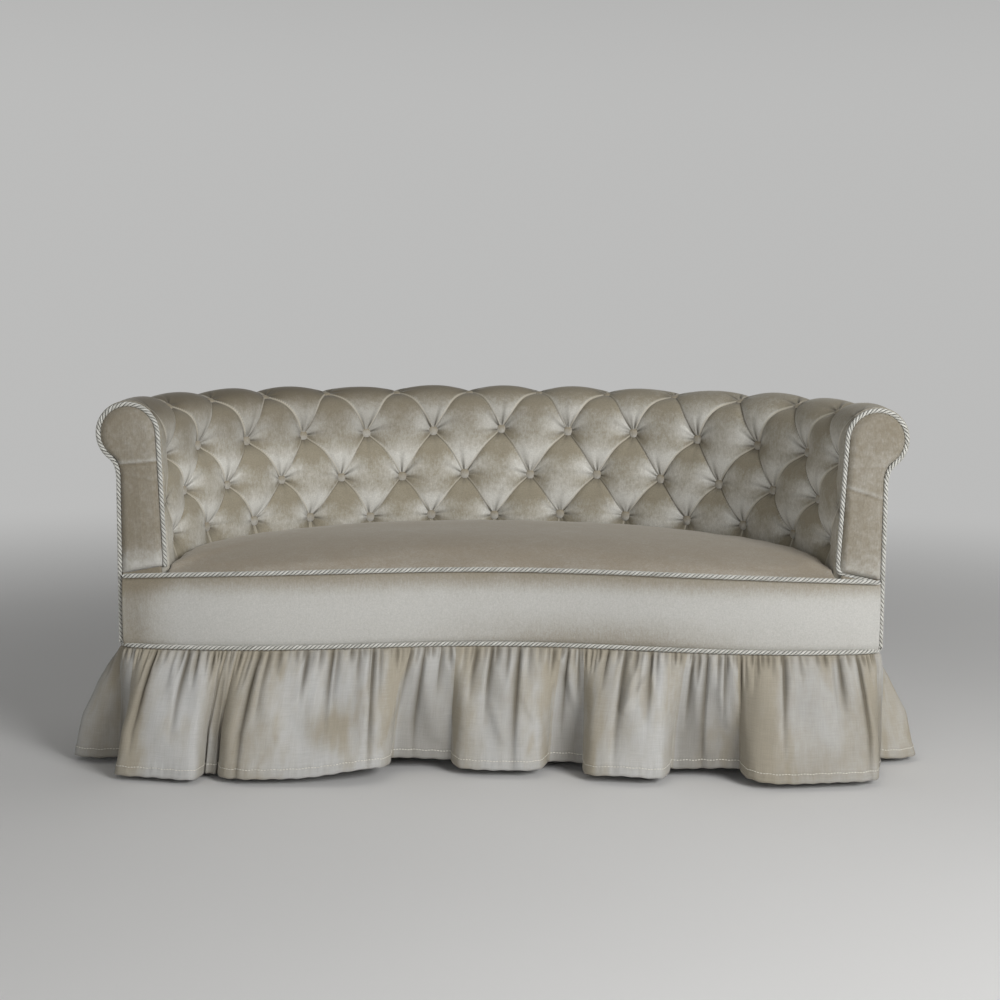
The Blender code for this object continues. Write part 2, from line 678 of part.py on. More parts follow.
# The folds from the right-hand corner across the front, then on round the sides and the back
def fold_plan():
    folds = [(front_at(a * CORNER_X), front_at(b * CORNER_X)) for a, b in FRONT_FOLDS]
    spot = folds[-1][1] + FOLD_SPACE * ROUND
    stop = folds[0][0] - FOLD_SPACE * ROUND + ROUND
    while spot < stop - 0.5 * FOLD_WIDTH * ROUND:
        number = len(folds)
        wide = FOLD_WIDTH * ROUND * (1 + 0.25 * math.sin(2.1 * number + 0.7))
        folds.append((spot, min(spot + wide, stop)))
        spot += wide + FOLD_SPACE * ROUND * (1 + 0.3 * math.sin(3.7 * number))
    return folds


FOLDS = fold_plan()


# How far the hem stands out from the base line: proud on a fold, drawn back between two
def fold_out(m):
    for number, (first, last) in enumerate(FOLDS):
        part = (m - first) % ROUND / (last - first)
        if part <= 1:
            high = FOLD_PROUD + 0.13 * FOLD_PROUD * math.sin(2.4 * number)
            if number >= len(FRONT_FOLDS):
                high += FOLD_SIDE * abs(base(m, 0.0)[0]) / BODY_HALF_WIDTH
            return FOLD_BACK + (high - FOLD_BACK) * (1 - abs(2 * part - 1) ** 3.2) ** 0.45
    return 0.6 * FOLD_BACK


def skirt(name, first, last):
    spots = base_stretch(first + HALF_GAP, last - HALF_GAP)
    spots = np.sort(np.concatenate([spots, (spots[1:] + spots[:-1]) / 2]))
    rows = []
    for m in spots:
        hem = fold_out(m)
        outer = []
        inner = []
        for drop, form in ((0.0, 0.0), (0.30, 0.38), (0.64, 0.78), (1.0, 1.0)):
            z = SKIRT_TOP + (HEM_Z - SKIRT_TOP) * drop
            out = FRAME_OUT + GAP + hem * form
            outer.append((*base(m, out + SKIRT_THICK), z))
            inner.append((*base(m, out), z))
        rows.append(outer + inner[::-1])
    return loft(name, rows, VELVET, 0.9, smooth=True)


skirt("skirt_front", M_RIGHT, M_LEFT)
skirt("skirt_right", M_BACK, M_RIGHT)
skirt("skirt_back", -M_BACK, M_BACK)
skirt("skirt_left", -M_RIGHT, -M_BACK)

# Dust cloth under the webbing, cut clear of the legs
DUST_HIGH = CROSS_LOW - GAP
DUST_LOW = DUST_HIGH - 0.0015
dust_m = np.linspace(0.0, ROUND, 72, endpoint=False)
dust = slab("dust_cloth", [base(m, FRAME_OUT - 0.006) for m in dust_m], DUST_LOW, DUST_HIGH, LINING)
for place, (x, y) in LEG_CENTRES.items():
    ring = [2 * math.pi * k / LEG_SIDES for k in range(LEG_SIDES)]
    wide = LEG_RADIUS + 4 * GAP
    hole = slab(
        place + "_hole",
        [(x + wide * math.cos(t), y + wide * math.sin(t)) for t in ring],
        DUST_LOW - 0.01,
        DUST_HIGH + 0.01,
        LINING,
    )
    hole.hide_render = True
    hole.display_type = "WIRE"
    cut = dust.modifiers.new(place, "BOOLEAN")
    cut.operation = "DIFFERENCE"
    cut.solver = "EXACT"
    cut.object = hole
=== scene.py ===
# %% [markdown]
# # A deep-buttoned kidney sofa
# The sofa is a curved, padded back with buttons, a sprung seat and a gathered skirt, all in sage-grey
# velvet. The solids of the model are loaded first and stay fixed. They say where everything is, and each
# soft piece below replaces the plain solid that holds its place.

# %% Load the frame
import math

import bpy
import bmesh
import numpy as np
from mathutils import Matrix, Vector


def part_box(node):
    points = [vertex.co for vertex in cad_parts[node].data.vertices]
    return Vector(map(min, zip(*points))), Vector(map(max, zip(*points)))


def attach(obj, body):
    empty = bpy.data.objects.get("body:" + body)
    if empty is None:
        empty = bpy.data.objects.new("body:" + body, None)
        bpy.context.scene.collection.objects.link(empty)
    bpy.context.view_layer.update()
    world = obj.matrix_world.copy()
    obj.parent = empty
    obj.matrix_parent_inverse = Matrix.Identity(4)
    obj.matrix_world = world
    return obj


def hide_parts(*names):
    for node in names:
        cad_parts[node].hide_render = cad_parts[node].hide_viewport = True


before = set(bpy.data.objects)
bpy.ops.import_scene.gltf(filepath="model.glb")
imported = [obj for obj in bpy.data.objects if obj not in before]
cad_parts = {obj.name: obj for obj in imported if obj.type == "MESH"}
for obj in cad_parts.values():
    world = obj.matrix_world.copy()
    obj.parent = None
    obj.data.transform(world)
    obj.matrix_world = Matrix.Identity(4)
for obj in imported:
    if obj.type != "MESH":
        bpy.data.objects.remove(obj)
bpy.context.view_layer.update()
scene = bpy.context.scene
print("solids loaded:", len(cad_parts))

# %% [markdown]
# ## The camera
# A long lens from about a standing person's waist height, tipped a little down, gives the low, calm view of
# the sofa. The picture is square, so a 36 mm sensor and a 61.8 mm lens give 1717 pixels to the radian.

# %% Camera
CAMERA_AT = (-0.004, -3.5926, 0.911)
TIPPED_DOWN, OFF_LEVEL = 6.54, 0.50
eye = bpy.data.cameras.new("camera")
eye.lens = 61.8
eye.sensor_width = 36.0
camera = bpy.data.objects.new("camera", eye)
scene.collection.objects.link(camera)
tip = Matrix.Rotation(math.radians(90.0 - TIPPED_DOWN), 4, "X")
roll = Matrix.Rotation(math.radians(OFF_LEVEL), 4, "Z")
camera.matrix_world = Matrix.Translation(CAMERA_AT) @ tip @ roll
scene.camera = camera
print("camera at", tuple(round(v, 3) for v in camera.location))

# %% [markdown]
# ## Small helpers for nodes
# Materials and Geometry Nodes are built with the same helpers. A Value is a number inside a node tree: a
# sum written with it adds the Math nodes for that sum, so a material reads as the formula that it is.

# %% Node helpers
def fill(inputs, values):
    """Links each socket or Value to the input of that name and types anything else into it."""
    for key, value in values.items():
        value = getattr(value, "socket", value)
        if isinstance(value, bpy.types.NodeSocket):
            value.id_data.links.new(value, inputs[key])
        else:
            inputs[key].default_value = value


def add_node(tree, kind, values=None, **settings):
    node = tree.nodes.new(kind)
    for name, setting in settings.items():
        setattr(node, name, setting)
    fill(node.inputs, values or {})
    return node


class Value:
    def __init__(self, socket):
        self.socket = socket
        self.tree = socket.id_data

    def math(self, operation, a, b):
        return Value(add_node(self.tree, "ShaderNodeMath", {0: a, 1: b}, operation=operation).outputs[0])

    def to(self, operation, other=0.0):
        return self.math(operation, self, other)

    def __add__(self, other):
        return self.math("ADD", self, other)

    def __sub__(self, other):
        return self.math("SUBTRACT", self, other)

    def __rsub__(self, other):
        return self.math("SUBTRACT", other, self)

    def __mul__(self, other):
        return self.math("MULTIPLY", self, other)

    def __truediv__(self, other):
        return self.math("DIVIDE", self, other)


def ramp(value, low, high, to_low=0.0, to_high=1.0):
    span = {"Value": value, 1: low, 2: high, 3: to_low, 4: to_high}
    node = add_node(value.tree, "ShaderNodeMapRange", span, interpolation_type="SMOOTHSTEP")
    return Value(node.outputs[0])


def clamped(value, low, high):
    span = {"Value": value, "Min": low, "Max": high}
    return Value(add_node(value.tree, "ShaderNodeClamp", span).outputs[0])


print("node helpers ready")

# %% Colour and noise helpers
def mix(factor, a, b):
    return add_node(factor.tree, "ShaderNodeMix", {0: factor, 6: a, 7: b}, data_type="RGBA").outputs[2]


def shaded(colour, bright):
    """A colour times a brightness."""
    tree = bright.tree
    grey = add_node(tree, "ShaderNodeCombineColor", {0: bright, 1: bright, 2: bright}).outputs[0]
    both = {0: 1.0, 6: colour, 7: grey}
    return add_node(tree, "ShaderNodeMix", both, data_type="RGBA", blend_type="MULTIPLY").outputs[2]


def noise(where, scale, detail=2.0, rough=0.5):
    """Noise at a place. A scale of three numbers stretches it."""
    if isinstance(scale, tuple):
        where = add_node(where.id_data, "ShaderNodeMapping", {"Vector": where, "Scale": scale}).outputs[0]
        scale = 1.0
    spot = {"Vector": where, "Scale": scale, "Detail": detail, "Roughness": rough}
    return Value(add_node(where.id_data, "ShaderNodeTexNoise", spot).outputs[0])


def object_place(tree):
    return tree.nodes.new("ShaderNodeTexCoord").outputs["Object"]


def stored(tree, name):
    return Value(add_node(tree, "ShaderNodeAttribute", attribute_name=name).outputs["Fac"])


print("colour and noise helpers ready")

# %% Tree and material helpers
def new_tree(name, kind, ins, outs):
    tree = bpy.data.node_groups.new(name, kind)
    for way, sockets in (("INPUT", ins), ("OUTPUT", outs)):
        for label, holds, *value in sockets:
            made = tree.interface.new_socket(name=label, in_out=way, socket_type="NodeSocket" + holds)
            if value:
                made.default_value = value[0]
    entry = tree.nodes.new("NodeGroupInput")
    leave = tree.nodes.new("NodeGroupOutput")
    return tree, entry.outputs, leave.inputs


def new_material(name):
    """A new material, its tree and the inputs of its shader."""
    made = bpy.data.materials.new(name)
    made.use_nodes = True
    return made, made.node_tree, made.node_tree.nodes["Principled BSDF"].inputs


def set_sheen(shader, weight, rough, tint, specular=0.12):
    fill(shader, {"Sheen Weight": weight, "Sheen Roughness": rough, "Sheen Tint": (*tint, 1.0)})
    fill(shader, {"Specular IOR Level": specular})


def set_bump(shader, height):
    bump = add_node(height.tree, "ShaderNodeBump", {"Height": height, "Distance": 1.0, "Strength": 1.0})
    fill(shader, {"Normal": bump.outputs["Normal"]})


print("tree and material helpers ready")

# %% [markdown]
# ## Floor and light
# A pale floor and a pale sky keep the picture plain. A big soft lamp from the right front models the
# buttons, a weaker one from the left opens the shadows, and one from above draws the top edge.

# %% Lamps and sky
def lamp(name, place, aim, size, watts):
    glow = bpy.data.lights.new(name, "AREA")
    glow.shape = "DISK"
    glow.size = size
    glow.energy = watts
    made = bpy.data.objects.new(name, glow)
    way = Vector(place) - Vector(aim)
    made.matrix_world = Matrix.Translation(place) @ way.to_track_quat("Z", "Y").to_matrix().to_4x4()
    scene.collection.objects.link(made)


lamp("key_lamp", (2.3, -3.4, 1.9), (0.0, 0.0, 0.35), 1.8, 122.0)
lamp("fill_lamp", (-1.0, -4.4, 1.3), (0.0, 0.0, 0.35), 2.0, 20.0)
lamp("top_lamp", (0.3, 0.9, 3.0), (0.0, 0.0, 0.40), 2.2, 6.0)
PALE = (0.500, 0.500, 0.495, 1.0)
sky = bpy.data.worlds.new("sky")
sky.use_nodes = True
heading = sky.node_tree.nodes.new("ShaderNodeTexCoord").outputs["Generated"]
upward = Value(add_node(sky.node_tree, "ShaderNodeSeparateXYZ", {0: heading}).outputs[2])
glow = {"Color": PALE, "Strength": ramp(upward, 0.10, 0.45, 1.0, 0.34)}
fill(sky.node_tree.nodes["Background"].inputs, glow)
scene.world = sky
scene.view_settings.view_transform = "Standard"
print("lamps and sky made")

# %% Floor
FAR = 60.0
ground = bpy.data.meshes.new("floor")
ground.from_pydata([(-FAR, -FAR, 0), (FAR, -FAR, 0), (FAR, FAR, 0), (-FAR, FAR, 0)], [], [(0, 1, 2, 3)])
floor = bpy.data.objects.new("floor", ground)
scene.collection.objects.link(floor)
paper, tree, shader = new_material("pale floor")
where = object_place(tree)
tone = mix(noise(where, 1.3, 3.0), (0.76, 0.755, 0.745, 1.0), (0.80, 0.795, 0.785, 1.0))
fill(shader, {"Base Color": tone, "Roughness": 0.8})
away = Value(add_node(tree, "ShaderNodeVectorMath", {0: where}, operation="LENGTH").outputs["Value"])
plain = tree.nodes["Principled BSDF"].outputs[0]
glow = add_node(tree, "ShaderNodeEmission", {"Color": PALE, "Strength": 1.0}).outputs[0]
both = add_node(tree, "ShaderNodeMixShader", {0: ramp(away, 1.1, 4.5), 1: plain, 2: glow})
fill(tree.nodes["Material Output"].inputs, {"Surface": both.outputs[0]})
ground.materials.append(paper)
print("floor made, of", paper.name)

# %% [markdown]
# ## Velvet
# Velvet looks beige where its pile is seen end on and silver where it lies away from the eye. On this sofa
# the pile is brushed down, so cloth that faces up is warm and cloth that faces down is pale. A painted
# camera trick would slide in other views, so each mesh carries a number called nap, worked out from its
# own slope, and the shader group mixes the two colours by it.

# %% The velvet group
BEIGE, SILVER = (0.300, 0.262, 0.196, 1.0), (0.560, 0.552, 0.520, 1.0)


def velvet_group():
    ins = [("Nap", "Float", 0.5), ("Beige", "Color", BEIGE), ("Silver", "Color", SILVER)]
    ins += [("Mottle", "Float", 0.5), ("Grain", "Float", 0.25)]
    outs = [("Color", "Color"), ("Roughness", "Float"), ("Height", "Float")]
    tree, given, result = new_tree("velvet pile", "ShaderNodeTree", ins, outs)
    where = object_place(tree)
    cloud = noise(where, 7.0, 3.0, 0.55)
    patch = noise(where, 30.0, 3.0, 0.6)
    streak = noise(where, (360.0, 360.0, 90.0), 2.0, 0.6)
    pile = noise(where, 360.0, 3.0, 0.7)
    crushed = noise(where, 120.0, 3.0, 0.65)
    mottle = Value(given["Mottle"])
    drift = (cloud - 0.5) * mottle + (patch - 0.5) * (mottle * 0.75)
    drift = drift + (streak - 0.5) * 0.36 + (crushed - 0.5) * (mottle * 0.75)
    nap = ramp(drift + given["Nap"], 0.0, 1.0)
    colour = shaded(mix(nap, given["Beige"], given["Silver"]), (pile - 0.5) * given["Grain"] + 1.0)
    height = streak * 0.00006 + pile * 0.00022
    fill(result, {"Color": colour, "Roughness": ramp(nap, 0.0, 1.0, 0.95, 0.80), "Height": height})
    return tree


VELVET_PILE = velvet_group()
print("group made:", VELVET_PILE.name)

# %% [markdown]
# A material places the group, gives it the nap of the piece and adds the shader itself. Sheen is the soft
# light rim of pile, and it is the same all over, so it is typed on the shader's own sockets.

# %% Velvet materials
BORDER_BEIGE, BORDER_SILVER = (0.250, 0.218, 0.163, 1.0), (0.468, 0.462, 0.437, 1.0)
PANEL_BEIGE, PANEL_SILVER = (0.225, 0.196, 0.147, 1.0), (0.500, 0.493, 0.464, 1.0)


def velvet(name, mottle=0.5, grain=0.25, beige=BEIGE, silver=SILVER):
    made, tree, shader = new_material(name)
    # On the back, the border and the arm fronts, the nap number also carries painted shade and painted
    # highlight.
    look = {"Nap": stored(tree, "nap"), "Mottle": mottle, "Grain": grain, "Beige": beige, "Silver": silver}
    pile = add_node(tree, "ShaderNodeGroup", look, node_tree=VELVET_PILE).outputs
    fill(shader, {"Base Color": pile["Color"], "Roughness": pile["Roughness"]})
    set_sheen(shader, 0.22, 0.45, (0.95, 0.94, 0.90))
    set_bump(shader, Value(pile["Height"]))
    return made, tree, shader, pile


VELVET_SEAT = velvet("seat velvet", 0.34, 0.46, beige=(0.313, 0.2685, 0.206, 1.0))[0]
VELVET_BORDER = velvet("border velvet", 0.18, 0.52, BORDER_BEIGE, BORDER_SILVER)[0]
VELVET_PANEL = velvet("arm front velvet", 0.46, 0.40, PANEL_BEIGE, PANEL_SILVER)[0]
VELVET_OUTSIDE = velvet("outside velvet", 0.55)[0]
VELVET_BUTTON = velvet("button velvet", 0.40)[0]
print("velvet materials made")

# %% [markdown]
# ## The lines that the sofa is drawn on
# Everything follows three lines: the body line round the back and arms, the wavy front of the seat and the
# closed line round the base. They are the model's own lines, with the same sizes, sampled more finely.

# %% Sizes
GAP = 0.0003
PAD_FACE, ROLL_IN, ROLL_R, ROLL_Z = 0.100, 0.025, 0.0625, 0.658
FRAME_OUT, FRAME_IN, PAD_BACK = -0.0044, -0.0369, -0.0398
SEAT_EDGE, SEAT_RISE, SEAT_CROWN = 0.385, 0.012, 0.043
BODY_LOW, NECK_Z, CORD_R, CORD_LAY = 0.2553, 0.658 - 0.91 * 0.0625, 0.0046, 0.026
CORD_Z, SKIRT_TOP, HEM_Z = 0.2498, 0.2446, 0.009
PANEL_THICK, PANEL_INSET = 0.014, 0.0105
HALF_WIDTH, BACK_REACH, SQUARENESS, ARM_END_Y = 0.740, 0.674, 2.11, -0.321
ARM_RUN, COLUMNS = 0.060, 13
WAVE, LOBE_X = 0.033, 0.716 * 0.740
print("one cord is", 2000 * CORD_R, "mm thick")

# %% Helpers for numbers and lines
def unit(x):
    return np.clip(x, 0.0, 1.0)


def ease(x):
    """A straight climb from 0 to 1, made soft at both ends."""
    x = unit(x)
    return x * x * (3 - 2 * x)


def hump(x, width, power=2):
    return np.exp(-((x / width) ** power))


def wrapped(gap, whole):
    """A distance round a closed line, the short way."""
    return (gap + whole / 2) % whole - whole / 2


def lengths(points):
    steps = np.linalg.norm(np.diff(points, axis=0), axis=1)
    return np.concatenate([[0.0], np.cumsum(steps)])


def sideways(points, closed=False):
    if closed:
        ahead = np.roll(points, -1, axis=0) - np.roll(points, 1, axis=0)
    else:
        ahead = np.gradient(points, axis=0)
    ahead /= np.linalg.norm(ahead, axis=1)[:, None]
    return np.stack([-ahead[:, 1], ahead[:, 0]], axis=1)


def respaced(points, count, closed=False):
    at = lengths(points)
    even = np.linspace(0.0, at[-1], count, endpoint=not closed)
    return np.stack([np.interp(even, at, part) for part in points.T], axis=1)


def evened(points, times, closed=False):
    """Draws each point towards its neighbours, a few times over. Open ends stay."""
    points = np.array(points, dtype=float)
    for _ in range(times):
        if closed:
            points = (np.roll(points, 1, axis=0) + 2 * points + np.roll(points, -1, axis=0)) / 4
        else:
            points[1:-1] = (points[:-2] + 2 * points[1:-1] + points[2:]) / 4
    return points


def beside(at, line, out, where, by):
    """The places at some lengths along a flat line, moved sideways."""
    return [np.interp(where, at, line[:, k]) + by * np.interp(where, at, out[:, k]) for k in (0, 1)]


def with_z(x, y, z):
    return np.stack([x, y, z + 0.0 * x], axis=-1)


print("line helpers ready")

# %% The body line
turn = np.linspace(math.pi, 0.0, 1601)
power = 2.0 / SQUARENESS
line_x = HALF_WIDTH * np.sign(np.cos(turn)) * np.abs(np.cos(turn)) ** power
line_y = BACK_REACH * np.abs(np.sin(turn)) ** power + ARM_END_Y
LINE = np.stack([line_x, line_y], axis=1)
OUT = sideways(LINE)
OUT[0] = (-1.0, 0.0)
OUT[-1] = (1.0, 0.0)
LINE = np.vstack([LINE[0] + (0.0, -ARM_RUN), LINE, LINE[-1] + (0.0, -ARM_RUN)])
OUT = np.vstack([OUT[0], OUT, OUT[-1]])
AT = lengths(LINE - PAD_FACE * OUT)
AT = AT - AT[-1] / 2
HALF = AT[-1] - ARM_RUN
PITCH = 2 * HALF / COLUMNS


def body(ell, u):
    return beside(AT, LINE, OUT, ell, u)


def body3(ell, u, z):
    return with_z(*body(ell, u), z)


print("from arm to arm along the buttons:", round(2 * HALF, 3), "m; one button pitch", round(PITCH, 4))

# %% The front line and the base line
CORNER_X, CORNER_Y = body(HALF + PANEL_THICK, -PANEL_INSET - GAP)
FRONT_Y = CORNER_Y - WAVE * math.cos(math.pi * CORNER_X / LOBE_X)


def front(x, out):
    slope = -WAVE * math.pi / LOBE_X * np.sin(math.pi * x / LOBE_X)
    size = np.hypot(slope, 1.0)
    return x + out * slope / size, FRONT_Y + WAVE * np.cos(math.pi * x / LOBE_X) - out / size


arm_run = np.linspace(0.0, HALF + PANEL_THICK, 350)
runs = [body(arm_run, 0.0), front(np.linspace(CORNER_X, -CORNER_X, 301), 0.0), body(-arm_run[::-1], 0.0)]
loop = np.vstack([np.stack(run, axis=1) for run in runs])
loop = evened(respaced(loop, 1200, closed=True), 200, closed=True)
BASE = np.vstack([loop, loop[:1]])
BASE_OUT = sideways(loop, closed=True)
BASE_OUT = np.vstack([BASE_OUT, BASE_OUT[:1]])
BASE_AT = lengths(BASE)
ROUND = BASE_AT[-1]
M_RIGHT = BASE_AT[int(np.argmin((loop[:, 0] - CORNER_X) ** 2 + (loop[:, 1] - CORNER_Y) ** 2))]
M_LEFT = ROUND - M_RIGHT


def base3(m, out, z):
    return with_z(*beside(BASE_AT, BASE, BASE_OUT, np.mod(m, ROUND), out), z)


print("round the base:", round(ROUND, 3), "m")

# %% [markdown]
# ## Meshes from grids
# A cloth surface is a grid of points. These helpers join a grid into quads and keep it smooth, and the nap
# is then read from the finished surface's own normals.

# %% Grid helpers
def grid_faces(rows, columns, close_columns=False):
    r = np.arange(rows - 1)
    c = np.arange(columns if close_columns else columns - 1)
    r, c = np.meshgrid(r, c, indexing="ij")
    c2 = (c + 1) % columns
    quads = [r * columns + c, r * columns + c2, (r + 1) * columns + c2, (r + 1) * columns + c]
    return np.stack(quads, axis=-1).reshape(-1, 4).tolist()


def end_caps(rows, columns):
    return [list(range(columns)), list(range((rows - 1) * columns, rows * columns))]


def tube_faces(rows, columns):
    return grid_faces(rows, columns, close_columns=True) + end_caps(rows, columns)


def link_piece(name, mesh):
    piece = bpy.data.objects.new(name, mesh)
    scene.collection.objects.link(piece)
    return piece


def make_piece(name, points, faces, surface, weld=0.0):
    mesh = bpy.data.meshes.new(name)
    mesh.from_pydata(np.asarray(points, dtype=float).reshape(-1, 3).tolist(), [], faces)
    mesh.materials.append(surface)
    shape = bmesh.new()
    shape.from_mesh(mesh)
    if weld > 0:
        bmesh.ops.remove_doubles(shape, verts=shape.verts, dist=weld)
    bmesh.ops.recalc_face_normals(shape, faces=shape.faces)
    shape.to_mesh(mesh)
    shape.free()
    mesh.shade_smooth()
    return link_piece(name, mesh)


def points_of(mesh):
    flat = np.zeros(len(mesh.vertices) * 3)
    mesh.vertices.foreach_get("co", flat)
    return flat.reshape(-1, 3)


print("grid helpers ready")

# %% Numbers on meshes
def set_number(piece, name, values):
    mark = piece.data.attributes.new(name, "FLOAT", "POINT")
    mark.data.foreach_set("value", np.asarray(values, dtype=np.float32).ravel())


def set_uv(piece, name, values):
    layer = piece.data.uv_layers.new(name=name)
    corner = np.zeros(len(piece.data.loops), dtype=np.int32)
    piece.data.loops.foreach_get("vertex_index", corner)
    layer.data.foreach_set("uv", np.asarray(values, dtype=np.float32).reshape(-1, 2)[corner].ravel())


def set_nap(piece, start, gain):
    facing = np.zeros(len(piece.data.vertices) * 3, dtype=np.float32)
    piece.data.vertex_normals.foreach_get("vector", facing)
    set_number(piece, "nap", unit(start - gain * facing.reshape(-1, 3)[:, 2]))


def settle(piece, slot, *nodes):
    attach(piece, "root")
    if nodes:
        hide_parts(*nodes)
    print(piece.name, "-", len(piece.data.polygons), "faces")


print("mesh helpers ready")

# %% [markdown]
# ## The buttoned back
# In deep buttoning every button is tied through the padding, and the cloth between two buttons is folded
# into a pleat. The pleats make diamonds. Above the top row they run straight over the roll, and below the
# last row straight down behind the seat.
# The grid counts in the lattice's own units, columns and rows, with the same number of cells each way, so
# every slanting pleat runs exactly through grid corners and can be a crisp crease.

# %% The profile of the back
BUTTON_Z = (0.437, 0.527, 0.627)
foot = np.array([-PAD_FACE, SEAT_EDGE + 2 * GAP])
centre = np.array([-ROLL_IN, ROLL_Z])
away = foot - centre
first = (math.atan2(away[1], away[0]) - math.acos(ROLL_R / np.hypot(*away))) % (2 * math.pi)
over = np.linspace(first, -math.asin(0.91), 241)
roll_points = centre + ROLL_R * np.stack([np.cos(over), np.sin(over)], axis=1)
rise = np.linspace(0.0, 1.0, 241, endpoint=False)[:, None]
PROFILE = np.vstack([foot + (roll_points[0] - foot) * rise, roll_points])
PROFILE_OUT = sideways(PROFILE)
PROFILE_AT = lengths(PROFILE)
CREST = PROFILE_AT[int(np.argmax(PROFILE[:, 1]))]
ROW_AT = [PROFILE_AT[int(np.argmin(np.abs(PROFILE[:260, 1] - z)))] for z in BUTTON_Z]
ROW_AT = np.array(ROW_AT + [CREST - 0.011])
print("button rows along the profile:", [round(float(v), 3) for v in ROW_AT])

# %% The lattice grid
CELLS = 24
ROW_UNIT = 0.100
END_COL = COLUMNS / 2
below = np.linspace(-ROW_AT[0] / ROW_UNIT, 0.0, 15)[:-1]
between = np.arange(3 * CELLS) / CELLS
above = np.linspace(3.0, 3.0 + (PROFILE_AT[-1] - ROW_AT[3]) / ROW_UNIT, 42)
ROWS = np.concatenate([below, between, above])
COLS = np.arange(2 * COLUMNS * CELLS + 1) / (2 * CELLS) - END_COL
SEED = np.random.default_rng(21)
WAVES = [(SEED.uniform(0.5, 1.6), SEED.uniform(0.5, 1.6), SEED.uniform(0, 6.28)) for _ in range(6)]


def sway(col, row, which):
    a, b, c = WAVES[which]
    d, e, f = WAVES[which + 1]
    return np.sin(a * col + b * row + c) + 0.6 * np.sin(2.1 * d * col - 1.4 * e * row + f)


def row_to_profile(row):
    v = np.interp(row, [0, 1, 2, 3], ROW_AT)
    return v + ROW_UNIT * (np.minimum(row, 0.0) + np.maximum(row - 3.0, 0.0))


def slants(col, row):
    steady = np.clip(row, 0.0, 3.0)
    return col + steady / 2, col - steady / 2


def lattice_place(col, row):
    """Where a column and row lie: a length along the body line and one along the profile."""
    ends = unit((END_COL - np.abs(col)) / 0.9)
    inner = unit((row + 0.5) * 2.0) * unit(4.2 - row)
    pull = np.interp(row, [0, 1, 2, 3], [0.045, 0.045, 0.015, 0.0]) * col * (1.0 - np.abs(col / END_COL) ** 8)
    lean = np.interp(row, [0, 1, 2, 3], [0.09, 0.05, 0.03, 0.0]) * unit(1.0 - (col / 5.5) ** 2)
    ell = PITCH * (col - pull - lean + 0.020 * sway(col, row, 0) * ends * inner)
    across_p, across_q = [np.sin(math.pi * part) ** 2 for part in slants(col, row)]
    bow = 0.0075 * (across_p + across_q - 2 * across_p * across_q)
    bow = bow * unit(row) * unit(3.6 - row)
    droop = np.interp(row, [ROWS[0], 0, 1, 2, 3, ROWS[-1]], [0.0, 0.0135, 0.0, -0.017, -0.030, 0.0])
    v = row_to_profile(row) + (0.0026 * sway(col, row, 2) * inner + bow) * ends + droop * (col / 6.0) ** 2
    return ell, np.clip(v, 0.0, PROFILE_AT[-1])


print("grid:", len(COLS), "by", len(ROWS))

# %% Height of the padding on the lattice
SPOTS = []
for r in range(4):
    in_row = np.arange(-END_COL + (r % 2 == 0) * 0.5, 6.6, 1.0)
    SPOTS += [(c, r) for c in in_row if abs(c) < 6.3]
PLEAT_STEP, PLEAT_WIDE, PIT_R, SWELL = 0.118, 0.0078, 0.031, 0.0060
PIT_DEPTHS = [0.020, 0.022, 0.023, 0.0095]
PLEAT_ROWS = [ROWS[0], 0.0, 2.5, 3.0, 3.5, ROWS[-1]]
PLEAT_DEPTHS = [0.003, 0.0042, 0.0042, 0.0048, 0.0055, 0.003]
LIP, LIP_WIDE = 0.0011, 0.0024


def padding_sink(col, row):
    """How far the cloth is pulled in below the plain profile."""
    p, q = slants(col, row)
    gap_p = (p - np.round(p)) * PLEAT_STEP
    gap_q = (np.round(q) - q) * PLEAT_STEP
    valley = np.exp(-np.minimum(np.abs(gap_p), np.abs(gap_q)) / PLEAT_WIDE)
    v = row_to_profile(row)
    pit = np.zeros(np.shape(col))
    for c, r in SPOTS:
        up = v - ROW_AT[r]
        far = np.hypot((col - c) * PITCH, up * np.where(up > 0, 1.12, 0.92))
        pit += hump(far, PIT_R, 1.45)
    pit = np.minimum(pit, 1.0)
    pit_depth = np.interp(row, [0.0, 1.0, 2.0, 3.0], PIT_DEPTHS)
    pleat_depth = np.interp(row, PLEAT_ROWS, PLEAT_DEPTHS)
    sink = pit_depth * pit + pleat_depth * valley * (1.0 - 0.55 * pit)
    crown = np.sqrt(np.abs(np.sin(math.pi * p) * np.sin(math.pi * q)))
    edge = unit((row - ROWS[0]) / 0.5) * unit((ROWS[-1] - row) / 0.8)
    swell = SWELL * np.interp(row, [2.4, 3.1], [1.0, 0.70])
    sink = sink - swell * edge * crown * (1 + 0.35 * sway(col, row, 4))
    inside = unit(row * 8) * unit((3.3 - row) * 4)
    for gap in (gap_p, gap_q):
        fold = hump(gap - 0.0030, LIP_WIDE) - 0.6 * hump(gap + 0.0026, LIP_WIDE)
        sink = sink - LIP * inside * fold
    return sink * ease((END_COL - np.abs(col)) / 0.42)


def back_point(col, row):
    ell, v = lattice_place(col, row)
    u, z = beside(PROFILE_AT, PROFILE, PROFILE_OUT, v, -padding_sink(col, row))
    return body3(ell, u, z)


col_grid, row_grid = np.meshgrid(COLS, ROWS, indexing="ij")
back_grid = back_point(col_grid, row_grid)
print("deepest button:", round(float(padding_sink(np.array([0.0]), np.array([2.0]))[0]), 4), "m")

